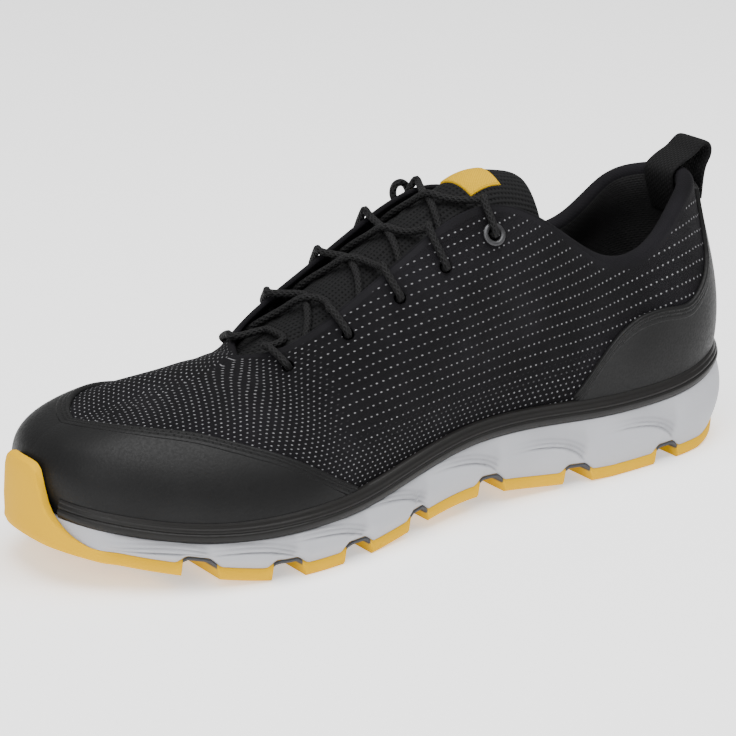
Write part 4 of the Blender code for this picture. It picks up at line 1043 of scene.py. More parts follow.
def make_outsole_piece(finishes):
    """Rubber outsole with lugs, thin web and the bumper round the toe."""
    half = sole_steps(TREAD_DETAIL)
    stations = both_sides(half)
    rise = bumper_rise(stations)
    joint = web_top(stations)
    flush = midsole_out(stations, 0.0)
    edge = edge_point(stations, flush, joint)
    foot_height = tread_height(stations, 0.0)
    away = level_outward(stations)
    proud = (BUMPER_THICKNESS * soft_step((np.abs(wrap(stations)) - BUMPER_START) / BUMPER_SWELL))[:, None]
    top = joint + (BUMPER_HEIGHT - joint) * rise
    inner, outer = [], []
    raised = rise > 0
    for step in np.linspace(0, 1, 9):
        level = joint + CLEARANCE * raised + (top - joint - CLEARANCE * raised) * step
        inner.append(np.where(raised[:, None], bumper_back(stations, level), edge))
    for step in np.linspace(*BUMPER_FACE):
        level = joint + (top - joint) * step
        thick = proud * min(1.0, BUMPER_ROUND[0] + BUMPER_ROUND[1] * (1 - step))
        outer.append(np.where(raised[:, None], bumper_back(stations, level) + away * thick, edge))
    crown = (inner[-1] + outer[0]) / 2 + np.stack([0 * rise, 0 * rise, OVERLAY_BEVEL * rise], 1)
    outer.insert(0, crown)
    face = [edge_point(stations, flush + proud[:, 0] * share + LUG_BULGE * bulge,
                       joint + (foot_height - joint) * drop) for share, bulge, drop in LUG_FACE]
    wall_ = np.stack([edge, *inner, *outer, *face], 1)
    mesh = new_mesh("web")
    # Mask of the web in the notches, kept in the 'web' map; the outsole is painted a dark foam grey there as
    # painted shade
    notch = (foot_height - tread(stations) > (joint - tread(stations)) / 2).astype(float)
    web = np.repeat(np.stack([notch, notch], -1)[:, None], wall_.shape[1], axis=1)
    add_grid(mesh, wall_, [("web", web)])
    count = len(half)
    shares = [0.0]
    for first, last in LUG_GROOVES:
        shares += [first - GROOVE_SLOPE, first, last, last + GROOVE_SLOPE]
    shares.append(1.0)
    lateral, medial = wall_[:count], wall_[::-1][:count]
    tops = np.stack([lateral[:, 0] + (medial[:, 0] - lateral[:, 0]) * share for share in (0, 0.5, 1)], 1)
    bottoms = np.stack([lateral[:, -1] + (medial[:, -1] - lateral[:, -1]) * share for share in shares], 1)
    for place, share in enumerate(shares):
        bottoms[:, place, 2] = tread_height(half, share)
    add_grid(mesh, tops)
    add_grid(mesh, bottoms, [("web", web[:count, :len(shares)])])
    piece = finish_piece("rubber_outsole", mesh, finishes, ["outsole"], sharp=32)
    soften = piece.modifiers.new("soft edges", "BEVEL")
    soften.width = EDGE_BEVEL
    soften.segments = 2
    soften.limit_method = "ANGLE"
    soften.angle_limit = math.radians(38)
    return piece


tongue_columns = {name: curve_through(column(TONGUE, TONGUE_COLUMNS, name)) for name in TONGUE_COLUMNS}


def tongue(row, side):
    """Points on the outside of the tongue: row of its table, side from 1 lateral to -1 medial."""
    row, side = np.broadcast_arrays(np.asarray(row, float), np.asarray(side, float))
    values = {name: tongue_columns[name](row) for name in TONGUE_COLUMNS}
    edges = []
    for sign in (1, -1):
        place = sign * values["station"]
        edges.append(off_skin(place, values["share"], -(wall(place, values["share"]) + TONGUE_GAP)))
    middle = stack(values["along"] * SOLE_LENGTH - HEEL_SEAT, (edges[0][..., 1] + edges[1][..., 1]) / 2,
                   values["up"] * UPPER_HEIGHT + BED_HEIGHT)
    lateral, medial = ((1 + side) / 2)[..., None], ((1 - side) / 2)[..., None]
    return (edges[0] * lateral * (lateral - medial) + middle * 4 * lateral * medial
            + edges[1] * medial * (medial - lateral))


def tongue_normal(row, side):
    """Direction out of the tongue's surface."""
    step = 0.05
    last = len(TONGUE) - 1
    ahead = tongue(np.minimum(row + step, last), side) - tongue(np.maximum(row - step, 0), side)
    over = tongue(row, np.maximum(side - step, -1)) - tongue(row, np.minimum(side + step, 1))
    return unit(np.cross(ahead, over))


def tongue_dip(row, side):
    """Soft puckers of the tongue's cloth between the laces."""
    pleats = np.sin(side * TONGUE_PLEATS * math.pi + row * PUCKER_LEAN[0])
    between = 0.5 + 0.5 * np.cos(2 * math.pi * (row - PUCKER_LEAN[1]))
    return TONGUE_PUCKER * pleats * between * (1 - soft_step((row - PUCKER_END[0]) / PUCKER_END[1]))


def make_tongue_piece(finishes):
    """Padded tongue of ribbed mesh cloth, rounded at its top."""
    last = len(TONGUE) - 1
    row, side = np.meshgrid(np.linspace(0, last, TONGUE_GRID[0]), np.linspace(1, -1, TONGUE_GRID[1]),
                            indexing="ij")
    surface, normal = tongue(row, side), tongue_normal(row, side)
    deep = TONGUE_THICKNESS + (TONGUE_PADDING - TONGUE_THICKNESS) * tongue_columns["pad"](row)
    thin = np.sqrt(np.clip(1 - np.abs(side) ** 6, 0, 1))
    thin = thin * rounded((last - row) / TONGUE_ROLL)
    middle = surface - normal * (deep / 2)[..., None]
    half = normal * (deep / 2 * thin)[..., None]
    outer = middle + half + normal * (tongue_dip(row, side) * thin)[..., None]
    inner = middle - half
    cloth = np.stack([arc_along(outer, 0), arc_along(outer, 1)], -1)
    mesh = new_mesh("cloth")
    add_grid(mesh, outer, [("cloth", cloth)])
    add_grid(mesh, inner, [("cloth", cloth)], 1)
    start = np.stack([outer[0], inner[0]], 1)
    add_grid(mesh, start, [("cloth", np.zeros((len(start), 2, 2)))], 1)
    return finish_piece("padded_tongue", mesh, finishes, ["tongue"])


def make_patch_piece(finishes):
    """Plain woven patch sewn on the tongue."""
    row, side = np.meshgrid(np.linspace(*PATCH_ROWS, PATCH_GRID[0]),
                            np.linspace(*PATCH_SIDES, PATCH_GRID[1]), indexing="ij")
    surface, normal = tongue(row, side), tongue_normal(row, side)
    run, wide = arc_along(surface, 0), arc_along(surface, 1)
    inset = np.minimum(np.minimum(run, run[-1:] - run), np.minimum(wide, wide[:, -1:] - wide))
    lift = PATCH_THICKNESS * rounded(inset / PATCH_ROLL)
    outer = surface + normal * (PATCH_SINK[0] + lift)[..., None]
    inner = surface - normal * PATCH_SINK[1]
    cloth = np.stack([run, wide], -1)
    edge = np.stack([run, inset], -1)
    mesh = new_mesh("cloth", "edge")
    for sheet in (outer, inner):
        add_grid(mesh, sheet, [("cloth", cloth), ("edge", edge)])
    for strip in borders(outer, inner):
        flat = np.zeros((*strip.shape[:2], 2))
        add_grid(mesh, strip, [("cloth", flat), ("edge", flat)])
    return finish_piece("tongue_patch", mesh, finishes)


def tongue_row(place):
    """Row of the tongue's table beside an eyelet, or beside a place between two of them."""
    stations = np.interp(place, np.arange(len(EYELETS)), column(EYELETS, EYELET_COLUMNS, "station"))
    return float(np.interp(-stations, -column(TONGUE, TONGUE_COLUMNS, "station"), np.arange(len(TONGUE))))


def throat_side(row, sign):
    """Side of the tongue that lies under the free edge of the throat."""
    edge = rim(THROAT_ROW * (1 + sign * np.linspace(0, 1, 201)))
    sides = np.linspace(0.2, 0.95, 31) * sign
    gaps = [np.min(np.linalg.norm(edge - tongue(row, side), axis=1)) for side in sides]
    return float(sides[int(np.argmin(gaps))])


def on_tongue(row, side, lift=0.0):
    """Middle of a lace that lies on the tongue."""
    return tongue(row, side) + tongue_normal(row, side) * (LACE_DIAMETER / 2 + LACE_SEAT + lift)


def round_edge(station, turn, lift=LACE_LIFT):
    """Middle of a lace that passes round the throat's edge: turn 0 on its outside, 90 across from it."""
    place = np.full(2, float(station))
    outer, below = skin(place, np.array([1.0, 0.9]))
    inner = off_skin(station, 1.0, -UPPER_WALL)
    away = unit(outer - inner)
    along = outer - below
    along = unit(along - away * np.dot(along, away))
    radius = UPPER_WALL / 2 + LACE_DIAMETER / 2 + lift
    turn = math.radians(turn)
    return (outer + inner) / 2 + (away * math.cos(turn) + along * math.sin(turn)) * radius


def lace_start(index, sign):
    """Route of a lace up through an eyelet and round the edge of the throat."""
    centre, away = eyelet(index, sign)
    station = sign * EYELETS[index][0]
    over = LACE_DIAMETER / 2 + LACE_SEAT
    if index == len(EYELETS) - 1:
        over += RING_HEIGHT
    inward = unit(round_edge(station, 0, LACE_SEAT) - centre)
    return [centre - away * LACE_TAIL - inward * LACE_LEAN[0], centre,
            centre + away * over * 0.8 + inward * LACE_LEAN[1],
            *(round_edge(station, turn) for turn in LACE_TURNS)]


def strand(index, sign):
    """Route of one diagonal, from an eyelet to below the far edge of the throat, one eyelet forward."""
    place = index - 1 + LACE_BESIDE
    first, last = tongue_row(index), tongue_row(place)
    start, end = throat_side(first, sign), throat_side(last, -sign)
    rise, middle, reach = LACE_OVER
    lift = LACE_DIAMETER * rise if sign > 0 else 0.0
    points = [on_tongue(first + (last - first) * part, start + (end - start) * part,
                        lift * math.exp(-((part - middle) / reach) ** 2)) for part in LACE_PARTS]
    return [*lace_start(index, sign), *points]


def make_lace_pieces(finishes):
    """Laces through the eyelets: straight across the front and crossed behind it."""
    row = tongue_row(0)
    over_front = [on_tongue(row, throat_side(row, 1) * side) for side in (0.5, 0.0, -0.5)]
    routes = {"lace_straight": [[*lace_start(0, 1), *over_front, *lace_start(0, -1)[::-1]]]}
    for index in range(1, len(EYELETS)):
        routes[f"lace_pair_{index}"] = [strand(index, 1), strand(index, -1)]
    nodes = ["lace_front"] + [f"lace_cross_{index}" for index in range(1, len(EYELETS))]
    for (name, paths), node in zip(routes.items(), nodes):
        mesh = new_mesh("cloth")
        for path in paths:
            add_tube(mesh, path, LACE_RINGS)
        finish_piece(name, mesh, finishes, [node])


def make_loop_piece(finishes):
    """The small loop of lace left standing at the medial top eyelet."""
    centre, away = eyelet(len(EYELETS) - 1, -1)
    start = centre + away * (LACE_DIAMETER / 2 + LACE_LIFT + RING_HEIGHT + CLEARANCE)
    ahead, out, up = (column(LACE_LOOP, LACE_LOOP_COLUMNS, name) for name in LACE_LOOP_COLUMNS)
    mesh = new_mesh("cloth")
    points = start + stack(ahead, -out, up) * LACE_LOOP_SIZE
    under = [centre - away * LACE_TAIL, centre + away * LACE_RISE]
    points = np.concatenate([under, points, under[::-1]])
    middle = add_tube(mesh, points, LOOP_RINGS)
    piece = finish_piece("lace_bow_loop", mesh, finishes, ["lace_loop"])
    tuple(middle[0])
    [tuple(point) for point in middle]


def make_ring_pieces(finishes):
    """Metal rings in the top eyelets."""
    for name, sign, node in (("top_ring_lateral", 1, "eyelet_ring_lateral"),
                             ("top_ring_medial", -1, "eyelet_ring_medial")):
        centre, away = eyelet(len(EYELETS) - 1, sign)
        first = unit(np.cross(away, [0.0, 0.0, 1.0]))
        second = np.cross(away, first)
        middle = RING_HOLE / 2 + RING_WIDTH / 2
        turn, round_ = np.meshgrid(*(np.linspace(0, 2 * math.pi, count) for count in RING_GRID),
                                   indexing="ij")
        spoke = first * np.cos(turn)[..., None] + second * np.sin(turn)[..., None]
        radius = middle + RING_WIDTH / 2 * np.cos(round_)
        height = CLEARANCE + RING_HEIGHT * (0.45 + 0.55 * np.sin(round_))
        mesh = new_mesh()
        add_grid(mesh, centre + spoke * radius[..., None] + away * height[..., None])
        finish_piece(name, mesh, finishes, [node])


def make_pull_loop_piece(finishes):
    """Webbing loop over the back of the collar."""
    back, up = (column(LOOP, LOOP_COLUMNS, name) for name in LOOP_COLUMNS)
    edge = rim(float(THROAT_ROW))
    low, high = LOOP_SEWN
    inside = off_skin(0.0, low, -float(wall(np.array(0.0), np.array(low))) - LOOP_INNER_SEAT)
    outside = off_skin(0.0, high, CAP_THICKNESS + 2 * CLEARANCE + LOOP_SEAT)
    line = [inside, *(np.array([edge[0] - shift * HEEL_SEAT, 0.0, edge[2] + lift * UPPER_HEIGHT])
                      for shift, lift in zip(back, up)), outside]
    route = curve_through(line)
    places = np.linspace(0, len(line) - 1, LOOP_GRID[0])
    middle = route(places)
    run = unit(np.gradient(middle, axis=0))
    face = np.stack([-run[:, 2], 0 * run[:, 0], run[:, 0]], 1)
    turn = np.linspace(0, 2 * math.pi, LOOP_GRID[1])
    wide = np.sign(np.sin(turn)) * np.abs(np.sin(turn)) ** LOOP_ROUND[0] * LOOP_WIDTH / 2
    thick = np.sign(np.cos(turn)) * np.abs(np.cos(turn)) ** LOOP_ROUND[1] * LOOP_THICKNESS / 2
    ring = (middle[:, None] + face[:, None] * thick[None, :, None]
            + np.array([0.0, 1.0, 0.0]) * wide[None, :, None])
    length = arc_along(middle[:, None], 0)
    cloth = np.stack(np.broadcast_arrays(length, wide[None]), -1)
    mesh = new_mesh("cloth")
    add_grid(mesh, ring, [("cloth", cloth)])
    for end in (ring[0], ring[-1]):
        close_end(mesh, end, ["cloth"])
    finish_piece("webbing_pull_loop", mesh, finishes, ["pull_loop"])


def add_node(tree, kind, inputs=None, **settings):
    """Node with its settings, its inputs set or linked."""
    node = tree.nodes.new(kind)
    for name, value in settings.items():
        setattr(node, name, value)
    for name, value in (inputs or {}).items():
        socket = node.inputs[name]
        if isinstance(value, bpy.types.NodeSocket):
            tree.links.new(value, socket)
        else:
            socket.default_value = value
    return node


def calc(tree, operation, first, second=0.0, clamp=False):
    """Value worked out from one or two values."""
    return add_node(tree, "ShaderNodeMath", {0: first, 1: second}, operation=operation,
                    use_clamp=clamp).outputs[0]


def maths(tree, *operations):
    """Short forms of a tree's math operations."""
    return [partial(calc, tree, operation) for operation in operations]


def ramp(tree, value, low, high, first=0.0, last=1.0):
    """Value that goes smoothly from first to last between two limits."""
    return add_node(tree, "ShaderNodeMapRange", {"Value": value, "From Min": low, "From Max": high,
                                                 "To Min": first, "To Max": last},
                    interpolation_type="SMOOTHSTEP").outputs["Result"]


def blend_colours(tree, factor, first, second):
    """Colour between two colours."""
    return add_node(tree, "ShaderNodeMix", {0: factor, 6: first, 7: second}, data_type="RGBA").outputs[2]


def new_group(name, inputs, outputs):
    """Empty node group with value inputs, or vector ones where no default is given, and value outputs."""
    group = bpy.data.node_groups.new(name, "ShaderNodeTree")
    for label, value in inputs.items():
        kind = "NodeSocketVector" if value is None else "NodeSocketFloat"
        made = group.interface.new_socket(label, in_out="INPUT", socket_type=kind)
        if value is not None:
            made.default_value = value
    for label in outputs:
        group.interface.new_socket(label, in_out="OUTPUT", socket_type="NodeSocketFloat")
    return group, group.nodes.new("NodeGroupInput").outputs, group.nodes.new("NodeGroupOutput").inputs


def place_group(tree, name, inputs):
    """Outputs of a node group placed in a material."""
    return add_node(tree, "ShaderNodeGroup", inputs, node_tree=bpy.data.node_groups[name]).outputs


def stitch_dots_group():
    """Light stitches in staggered rows on dark knit."""
    group, given, out = new_group("stitch dots", {"Along": 0.0, "Up": 0.0, "All rows": 1.0, "Pitch": 0.0025,
                                                  "Row pitch": 0.00205, "Size": 0.001}, ("Mask", "Knit"))
    add, take, times, over = maths(group, "ADD", "SUBTRACT", "MULTIPLY", "DIVIDE")
    floor, part, power, sine = maths(group, "FLOOR", "FRACT", "POWER", "SINE")
    level = over(given["Up"], given["Row pitch"])
    row = floor(level)
    odd = calc(group, "FLOORED_MODULO", row, 2.0)
    place = add(over(given["Along"], given["Pitch"]), times(odd, 0.5))
    seed = add_node(group, "ShaderNodeCombineXYZ", {"X": floor(place), "Y": row}).outputs[0]
    noise = add_node(group, "ShaderNodeTexWhiteNoise", {"Vector": seed}, noise_dimensions="3D")
    chance = noise.outputs["Value"]
    shift = times(take(chance, 0.5), 0.12)
    across = times(take(take(part(place), 0.5), shift), given["Pitch"])
    above = times(take(part(level), 0.5), given["Row pitch"])
    far = calc(group, "SQRT", add(power(across, 2.0), power(times(above, 1.35), 2.0)))
    spot = ramp(group, over(far, times(given["Size"], 0.5)), 1.25, 0.55)
    keep = take(1.0, times(odd, take(1.0, given["All rows"])))
    worn = add(0.55, times(chance, 0.45))
    group.links.new(times(times(spot, keep), worn), out["Mask"])
    loops = [sine(times(over(given[name], pitch), 2 * math.pi))
             for name, pitch in (("Along", 0.00083), ("Up", 0.00068))]
    group.links.new(times(*loops), out["Knit"])


def grain_group():
    """Fine grain and wide soft blotches."""
    group, given, out = new_group("grain", {"Place": None, "Scale": 900.0, "Blotch scale": 28.0},
                                  ("Grain", "Blotch"))
    fine, wide = (add_node(group, "ShaderNodeTexNoise", {"Vector": given["Place"], "Scale": given[name],
                                                         "Detail": detail}).outputs["Fac"]
                  for name, detail in (("Scale", 3.0), ("Blotch scale", 4.0)))
    group.links.new(fine, out["Grain"])
    group.links.new(ramp(group, wide, 0.35, 0.68), out["Blotch"])


def sewn_edge_group():
    """Two rows of sunk stitches beside an edge, and the step where the folded band ends."""
    group, given, out = new_group("sewn edge", {"Along": 0.0, "Inset": 0.0, "First row": 0.0018,
                                                "Row gap": 0.0014, "Band": 0.0052, "Stitch": 0.0026},
                                  ("Height", "Thread"))
    add, take, times, size = maths(group, "ADD", "SUBTRACT", "MULTIPLY", "ABSOLUTE")
    depths, threads = [], []
    for number in (0.0, 1.0):
        middle = add(given["First row"], times(given["Row gap"], number))
        gap = size(take(given["Inset"], middle))
        place = add(calc(group, "DIVIDE", given["Along"], given["Stitch"]), 0.5 * number)
        part = size(take(calc(group, "FRACT", place), 0.5))
        thread = times(ramp(group, gap, 0.00038, 0.00012), ramp(group, part, 0.47, 0.38))
        depths.append(take(times(thread, 0.55), ramp(group, gap, 0.00055, 0.0)))
        threads.append(thread)
    step = ramp(group, given["Inset"], take(given["Band"], 0.0005), given["Band"], 1.0, 0.0)
    group.links.new(add(add(*depths), step), out["Height"])
    group.links.new(calc(group, "MAXIMUM", *threads), out["Thread"])


def weave_group():
    """Plain weave: threads that pass over and under each other."""
    group, given, out = new_group("weave", {"Along": 0.0, "Across": 0.0, "Along pitch": 0.001,
                                            "Across pitch": 0.001}, ("Height",))
    times, over, sine = maths(group, "MULTIPLY", "DIVIDE", "SINE")
    first, second = (sine(times(over(given[name], given[f"{name} pitch"]), math.pi))
                     for name in ("Along", "Across"))
    ribs = times(calc(group, "ABSOLUTE", second), 0.6)
    group.links.new(calc(group, "ADD", times(times(first, second), 0.4), ribs), out["Height"])


def braid_group():
    """Diagonal strands of a round braid: metres along it and turns round it."""
    group, given, out = new_group("braid", {"Along": 0.0, "Round": 0.0, "Pitch": 0.0024, "Strands": 5.0},
                                  ("Height",))
    times, over, sine = maths(group, "MULTIPLY", "DIVIDE", "SINE")
    run = over(given["Along"], given["Pitch"])
    turn = times(given["Round"], given["Strands"])
    strands = [sine(times(calc(group, sign, run, turn), 2 * math.pi)) for sign in ("ADD", "SUBTRACT")]
    group.links.new(calc(group, "MAXIMUM", *strands), out["Height"])


def new_material(name, roughness, specular, metallic=0.0):
    """Material with its tree, shader and the uniform values of its shader's sockets."""
    made = bpy.data.materials.new(name)
    made.use_nodes = True
    shader = made.node_tree.nodes["Principled BSDF"]
    shader.inputs["Roughness"].default_value = roughness
    shader.inputs["Specular IOR Level"].default_value = specular
    shader.inputs["Metallic"].default_value = metallic
    return made, made.node_tree, shader


def uv(tree, name):
    """Both numbers of a UV map."""
    place = add_node(tree, "ShaderNodeUVMap", uv_map=name).outputs[0]
    return add_node(tree, "ShaderNodeSeparateXYZ", {0: place}).outputs[:2]


def bump(tree, shader, layers):
    """Bumps laid over each other, each a height and its distance in metres, feeding the normal."""
    lower = {}
    for height, distance in layers:
        inputs = {"Height": height, "Distance": distance, "Strength": 1.0, **lower}
        lower = {"Normal": add_node(tree, "ShaderNodeBump", inputs).outputs[0]}
    tree.links.new(lower["Normal"], shader.inputs["Normal"])


def grained(tree, scale, blotch):
    """Outputs of the grain group on the piece's own coordinates."""
    place = add_node(tree, "ShaderNodeTexCoord").outputs["Object"]
    return place_group(tree, "grain", {"Place": place, "Scale": scale, "Blotch scale": blotch})


def shade(colour, factor):
    return tuple(value * factor for value in colour) + (1.0,)


def paint(tree, shader, factor, colour, low, high):
    """Base colour between two shades of a colour."""
    base = blend_colours(tree, factor, shade(colour, low), shade(colour, high))
    tree.links.new(base, shader.inputs["Base Color"])


def paint_over(made, mask, colour):
    """Blends a finish's base colour into another colour where a mask is 1."""
    tree = made.node_tree
    socket = tree.nodes["Principled BSDF"].inputs["Base Color"]
    tree.links.new(blend_colours(tree, mask, socket.links[0].from_socket, colour), socket)
    return made


def knit_finish(settings):
    """Black knit with rows of light stitches and a smooth bound edge."""
    made, tree, shader = new_material("black_knit", 0.82, 0.12)
    along, up = uv(tree, "cloth")
    inset = uv(tree, "edge")[1]
    every, shown = uv(tree, "rows")
    dots = place_group(tree, "stitch dots", {"Along": along, "Up": up, "All rows": every,
                                             "Pitch": settings.dot_pitch, "Row pitch": settings.row_pitch,
                                             "Size": settings.dot_size})
    grain = grained(tree, 1500.0, 36.0)
    cloth = ramp(tree, inset, BAND_WIDTH - 0.0002, BAND_WIDTH + 0.0004)
    mask = calc(tree, "MULTIPLY", calc(tree, "MULTIPLY", dots["Mask"], shown), cloth, clamp=True)
    paint(tree, shader, grain["Blotch"], settings.knit_colour, 0.72, 1.35)
    fabric = calc(tree, "MULTIPLY", dots["Knit"], cloth)
    bump(tree, shader, ((fabric, 0.00016), (grain["Grain"], 0.00018), (mask, 0.00025)))
    return paint_over(made, mask, shade(settings.dot_colour, 1.0))


def plain_cloth_finish(name, colour, pitch, depth):
    """Dark closely woven cloth."""
    made, tree, shader = new_material(name, 0.9, 0.12)
    along, up = uv(tree, "cloth")
    weave = place_group(tree, "weave", {"Along": along, "Across": up, "Along pitch": pitch,
                                        "Across pitch": pitch})
    grain = grained(tree, 1200.0, 40.0)
    paint(tree, shader, grain["Blotch"], colour, 0.75, 1.3)
    bump(tree, shader, ((weave["Height"], depth), (grain["Grain"], 0.00012)))
    return made


def coated_finish(settings):
    """Satin coated film of the toe cap and counter, sewn along its edge."""
    made, tree, shader = new_material("black_coated_cap", 0.48, 0.16)
    along, inset = uv(tree, "edge")
    grain = grained(tree, 1100.0, 30.0)
    sewn = place_group(tree, "sewn edge", {"Along": along, "Inset": inset})
    paint(tree, shader, grain["Blotch"], settings.cap_colour, 0.85, 1.2)
    rough = ramp(tree, grain["Grain"], 0.3, 0.7, settings.cap_roughness - 0.05, settings.cap_roughness + 0.08)
    tree.links.new(rough, shader.inputs["Roughness"])
    bump(tree, shader, ((grain["Grain"], 0.00009), (sewn["Height"], 0.0005)))
    return paint_over(made, sewn["Thread"], shade(settings.cap_colour, 0.6))


def rubber_finish(name, colour, roughness, depth=0.00006, gloss=0.2):
    """Moulded rubber or foam with a fine skin."""
    made, tree, shader = new_material(name, roughness, gloss)
    grain = grained(tree, 1400.0, 22.0)
    paint(tree, shader, grain["Blotch"], colour, 0.95, 1.03)
    rough = ramp(tree, grain["Grain"], 0.3, 0.7, roughness - 0.05, roughness + 0.07)
    tree.links.new(rough, shader.inputs["Roughness"])
    bump(tree, shader, ((grain["Grain"], depth),))
    return made


def foam_groove_shade_finish(settings):
    """Moulded foam, with painted shade darkening its wave grooves."""
    made = rubber_finish("grey_foam", settings.foam_colour, 0.6, 0.00008)
    groove = uv(made.node_tree, "relief")[0]
    # Painted shade: in the wave grooves the foam's grey is blended towards 0.45 of itself
    return paint_over(made, calc(made.node_tree, "MULTIPLY", groove, 0.55), shade(settings.foam_colour, 0.45))


def tread_notch_shade_finish(settings):
    """Coloured rubber of the lugs and bumper, with the web in the notches painted a dark foam grey as painted
    shade.
    """
    made = rubber_finish("yellow_rubber", settings.tread_colour, 0.62, gloss=0.06)
    notch = uv(made.node_tree, "web")[0]
    # Painted shade: the web in the notches is painted 0.16 of the foam's grey instead of the rubber's colour
    return paint_over(made, ramp(made.node_tree, notch, 0.75, 0.95), shade(settings.foam_colour, 0.16))


def tongue_finish(settings):
    """Ribbed spacer mesh with small open cells, darkened inside as painted shade."""
    made, tree, shader = new_material("black_mesh", 0.88, 0.12)
    along, across = uv(tree, "cloth")
    ribs, cells = (calc(tree, "SINE", calc(tree, "MULTIPLY", place, 2 * math.pi / pitch))
                   for place, pitch in ((across, 0.0022), (along, 0.0016)))
    hole = calc(tree, "MULTIPLY", ramp(tree, ribs, 0.1, -0.7), ramp(tree, cells, 0.0, -0.8))
    grain = grained(tree, 1500.0, 40.0)
    # Painted shade: the open cells are painted at 0.3 of the mesh's colour, the ribs between them at 1.1
    paint(tree, shader, hole, settings.mesh_colour, 1.1, 0.3)
    height = calc(tree, "SUBTRACT", calc(tree, "MULTIPLY", ribs, 0.5), hole)
    bump(tree, shader, ((height, 0.00035), (grain["Grain"], 0.0002)))
    return made


def patch_finish(settings):
    """Plain yellow woven patch with a sewn edge, and painted shade where its threads dip."""
    made, tree, shader = new_material("yellow_patch", 0.75, 0.15)
    along, across = uv(tree, "cloth")
    inset = uv(tree, "edge")[1]
    weave = place_group(tree, "weave", {"Along": along, "Across": across, "Along pitch": 0.0006,
                                        "Across pitch": 0.0005})
    hem = ramp(tree, inset, 0.0011, 0.0007)
    # Painted shade: the yellow is darker where the weave's threads dip and lighter on their crests
    paint(tree, shader, weave["Height"], settings.patch_colour, 0.7, 1.1)
    bump(tree, shader, ((weave["Height"], 0.00015), (hem, 0.0002)))
    return paint_over(made, hem, shade(settings.patch_colour, 0.85))


def cord_finish(settings):
    """Round braided cord of the laces, with painted shade between its strands."""
    made, tree, shader = new_material("black_cord", 0.7, 0.2)
    along, turn = uv(tree, "cloth")
    braid = place_group(tree, "braid", {"Along": along, "Round": turn})
    # Painted shade: the cord is darker between its strands and lighter on their crests
    paint(tree, shader, ramp(tree, braid["Height"], 0.0, 1.0), settings.lace_colour, 0.55, 1.25)
    bump(tree, shader, ((braid["Height"], 0.00022),))
    return made


def webbing_finish(settings):
    """Woven webbing of the pull loop, with painted shade where its threads dip."""
    made, tree, shader = new_material("black_webbing", 0.8, 0.15)
    along, across = uv(tree, "cloth")
    weave = place_group(tree, "weave", {"Along": along, "Across": across, "Along pitch": 0.0009,
                                        "Across pitch": 0.0012})
    # Painted shade: the webbing is darker where its threads dip and lighter on their crests
    paint(tree, shader, ramp(tree, weave["Height"], 0.0, 1.0), settings.lace_colour, 0.6, 1.2)
    bump(tree, shader, ((weave["Height"], 0.00025),))
    return made


def metal_finish():
    """Dark plated metal of the top rings."""
    made, tree, shader = new_material("dark_metal", 0.42, 0.5, 0.7)
    grain = grained(tree, 700.0, 200.0)
    base = blend_colours(tree, grain["Blotch"], (0.035, 0.035, 0.037, 1.0), (0.06, 0.06, 0.063, 1.0))
    tree.links.new(base, shader.inputs["Base Color"])
    bump(tree, shader, ((grain["Grain"], 0.00003),))
    return made


def floor_finish(settings):
    """Matt pale floor that gives off a little light."""
    made, tree, shader = new_material("studio_floor", 0.95, 0.1)
    shader.inputs["Emission Color"].default_value = (1.0, 1.0, 1.0, 1.0)
    shader.inputs["Emission Strength"].default_value = settings.floor_glow
    grain = grained(tree, 60.0, 2.0)
    paint(tree, shader, grain["Blotch"], settings.floor_colour, 0.995, 1.0)
    return made


def colour_of(name, default):
    """Colour setting of a finish."""
    return bpy.props.FloatVectorProperty(name=name, description=f"Colour of the {name.lower()}",
                                         subtype="COLOR", size=3, min=0.0, max=1.0, default=default)


def length_of(name, default, description):
    """Length setting in metres."""
    return bpy.props.FloatProperty(name=name, description=description, subtype="DISTANCE", unit="LENGTH",
                                   precision=5, min=0.0, default=default)


def value_of(name, default, description, **limits):
    """Number setting."""
    return bpy.props.FloatProperty(name=name, description=description, default=default, **limits)


class SneakerCloth(bpy.types.PropertyGroup):
    """Knit, mesh and laces."""
    knit_colour: colour_of("Knit", (0.0058, 0.0054, 0.0066))
    dot_colour: colour_of("Light stitches", (0.27, 0.27, 0.28))
    dot_pitch: length_of("Stitch pitch", 0.0025, "From one light stitch to the next in a row")
    row_pitch: length_of("Row pitch", 0.00205, "From one row of stitches to the next")
    dot_size: length_of("Stitch size", 0.00088, "Width of a light stitch")
    mesh_colour: colour_of("Tongue mesh", (0.0085, 0.0085, 0.0088))
    lining_colour: colour_of("Lining", (0.0170, 0.0168, 0.0172))
    lace_colour: colour_of("Laces and webbing", (0.0052, 0.0051, 0.0054))
    patch_colour: colour_of("Tongue patch", (0.66, 0.385, 0.0))


class SneakerRubber(bpy.types.PropertyGroup):
    """Cap, rand and sole."""
    cap_colour: colour_of("Toe cap and counter", (0.0066, 0.0066, 0.0067))
    cap_roughness: value_of("Cap roughness", 0.48, "Roughness of the coated film", min=0.1, max=1.0)
    rand_colour: colour_of("Rand", (0.0085, 0.0080, 0.0076))
    foam_colour: colour_of("Midsole", (0.40, 0.405, 0.43))
    tread_colour: colour_of("Outsole", (0.68, 0.375, 0.0))


class SneakerStage(bpy.types.PropertyGroup):
    """Floor, lights and camera."""
    floor_colour: colour_of("Floor", (0.93, 0.93, 0.93))
    floor_glow: value_of("Floor glow", 0.7, "Light that the pale floor gives off", min=0.0)
    key_power: value_of("Key light", 52.0, "Power of the large light above", min=0.0, unit="POWER")
    side_power: value_of("Side light", 8.0, "Power of the light beside the toe", min=0.0, unit="POWER")
    sky: value_of("Sky", 0.5, "Brightness of the surroundings", min=0.0)
    lens: value_of("Lens", 144.3, "Focal length of the camera in millimetres", min=10.0)


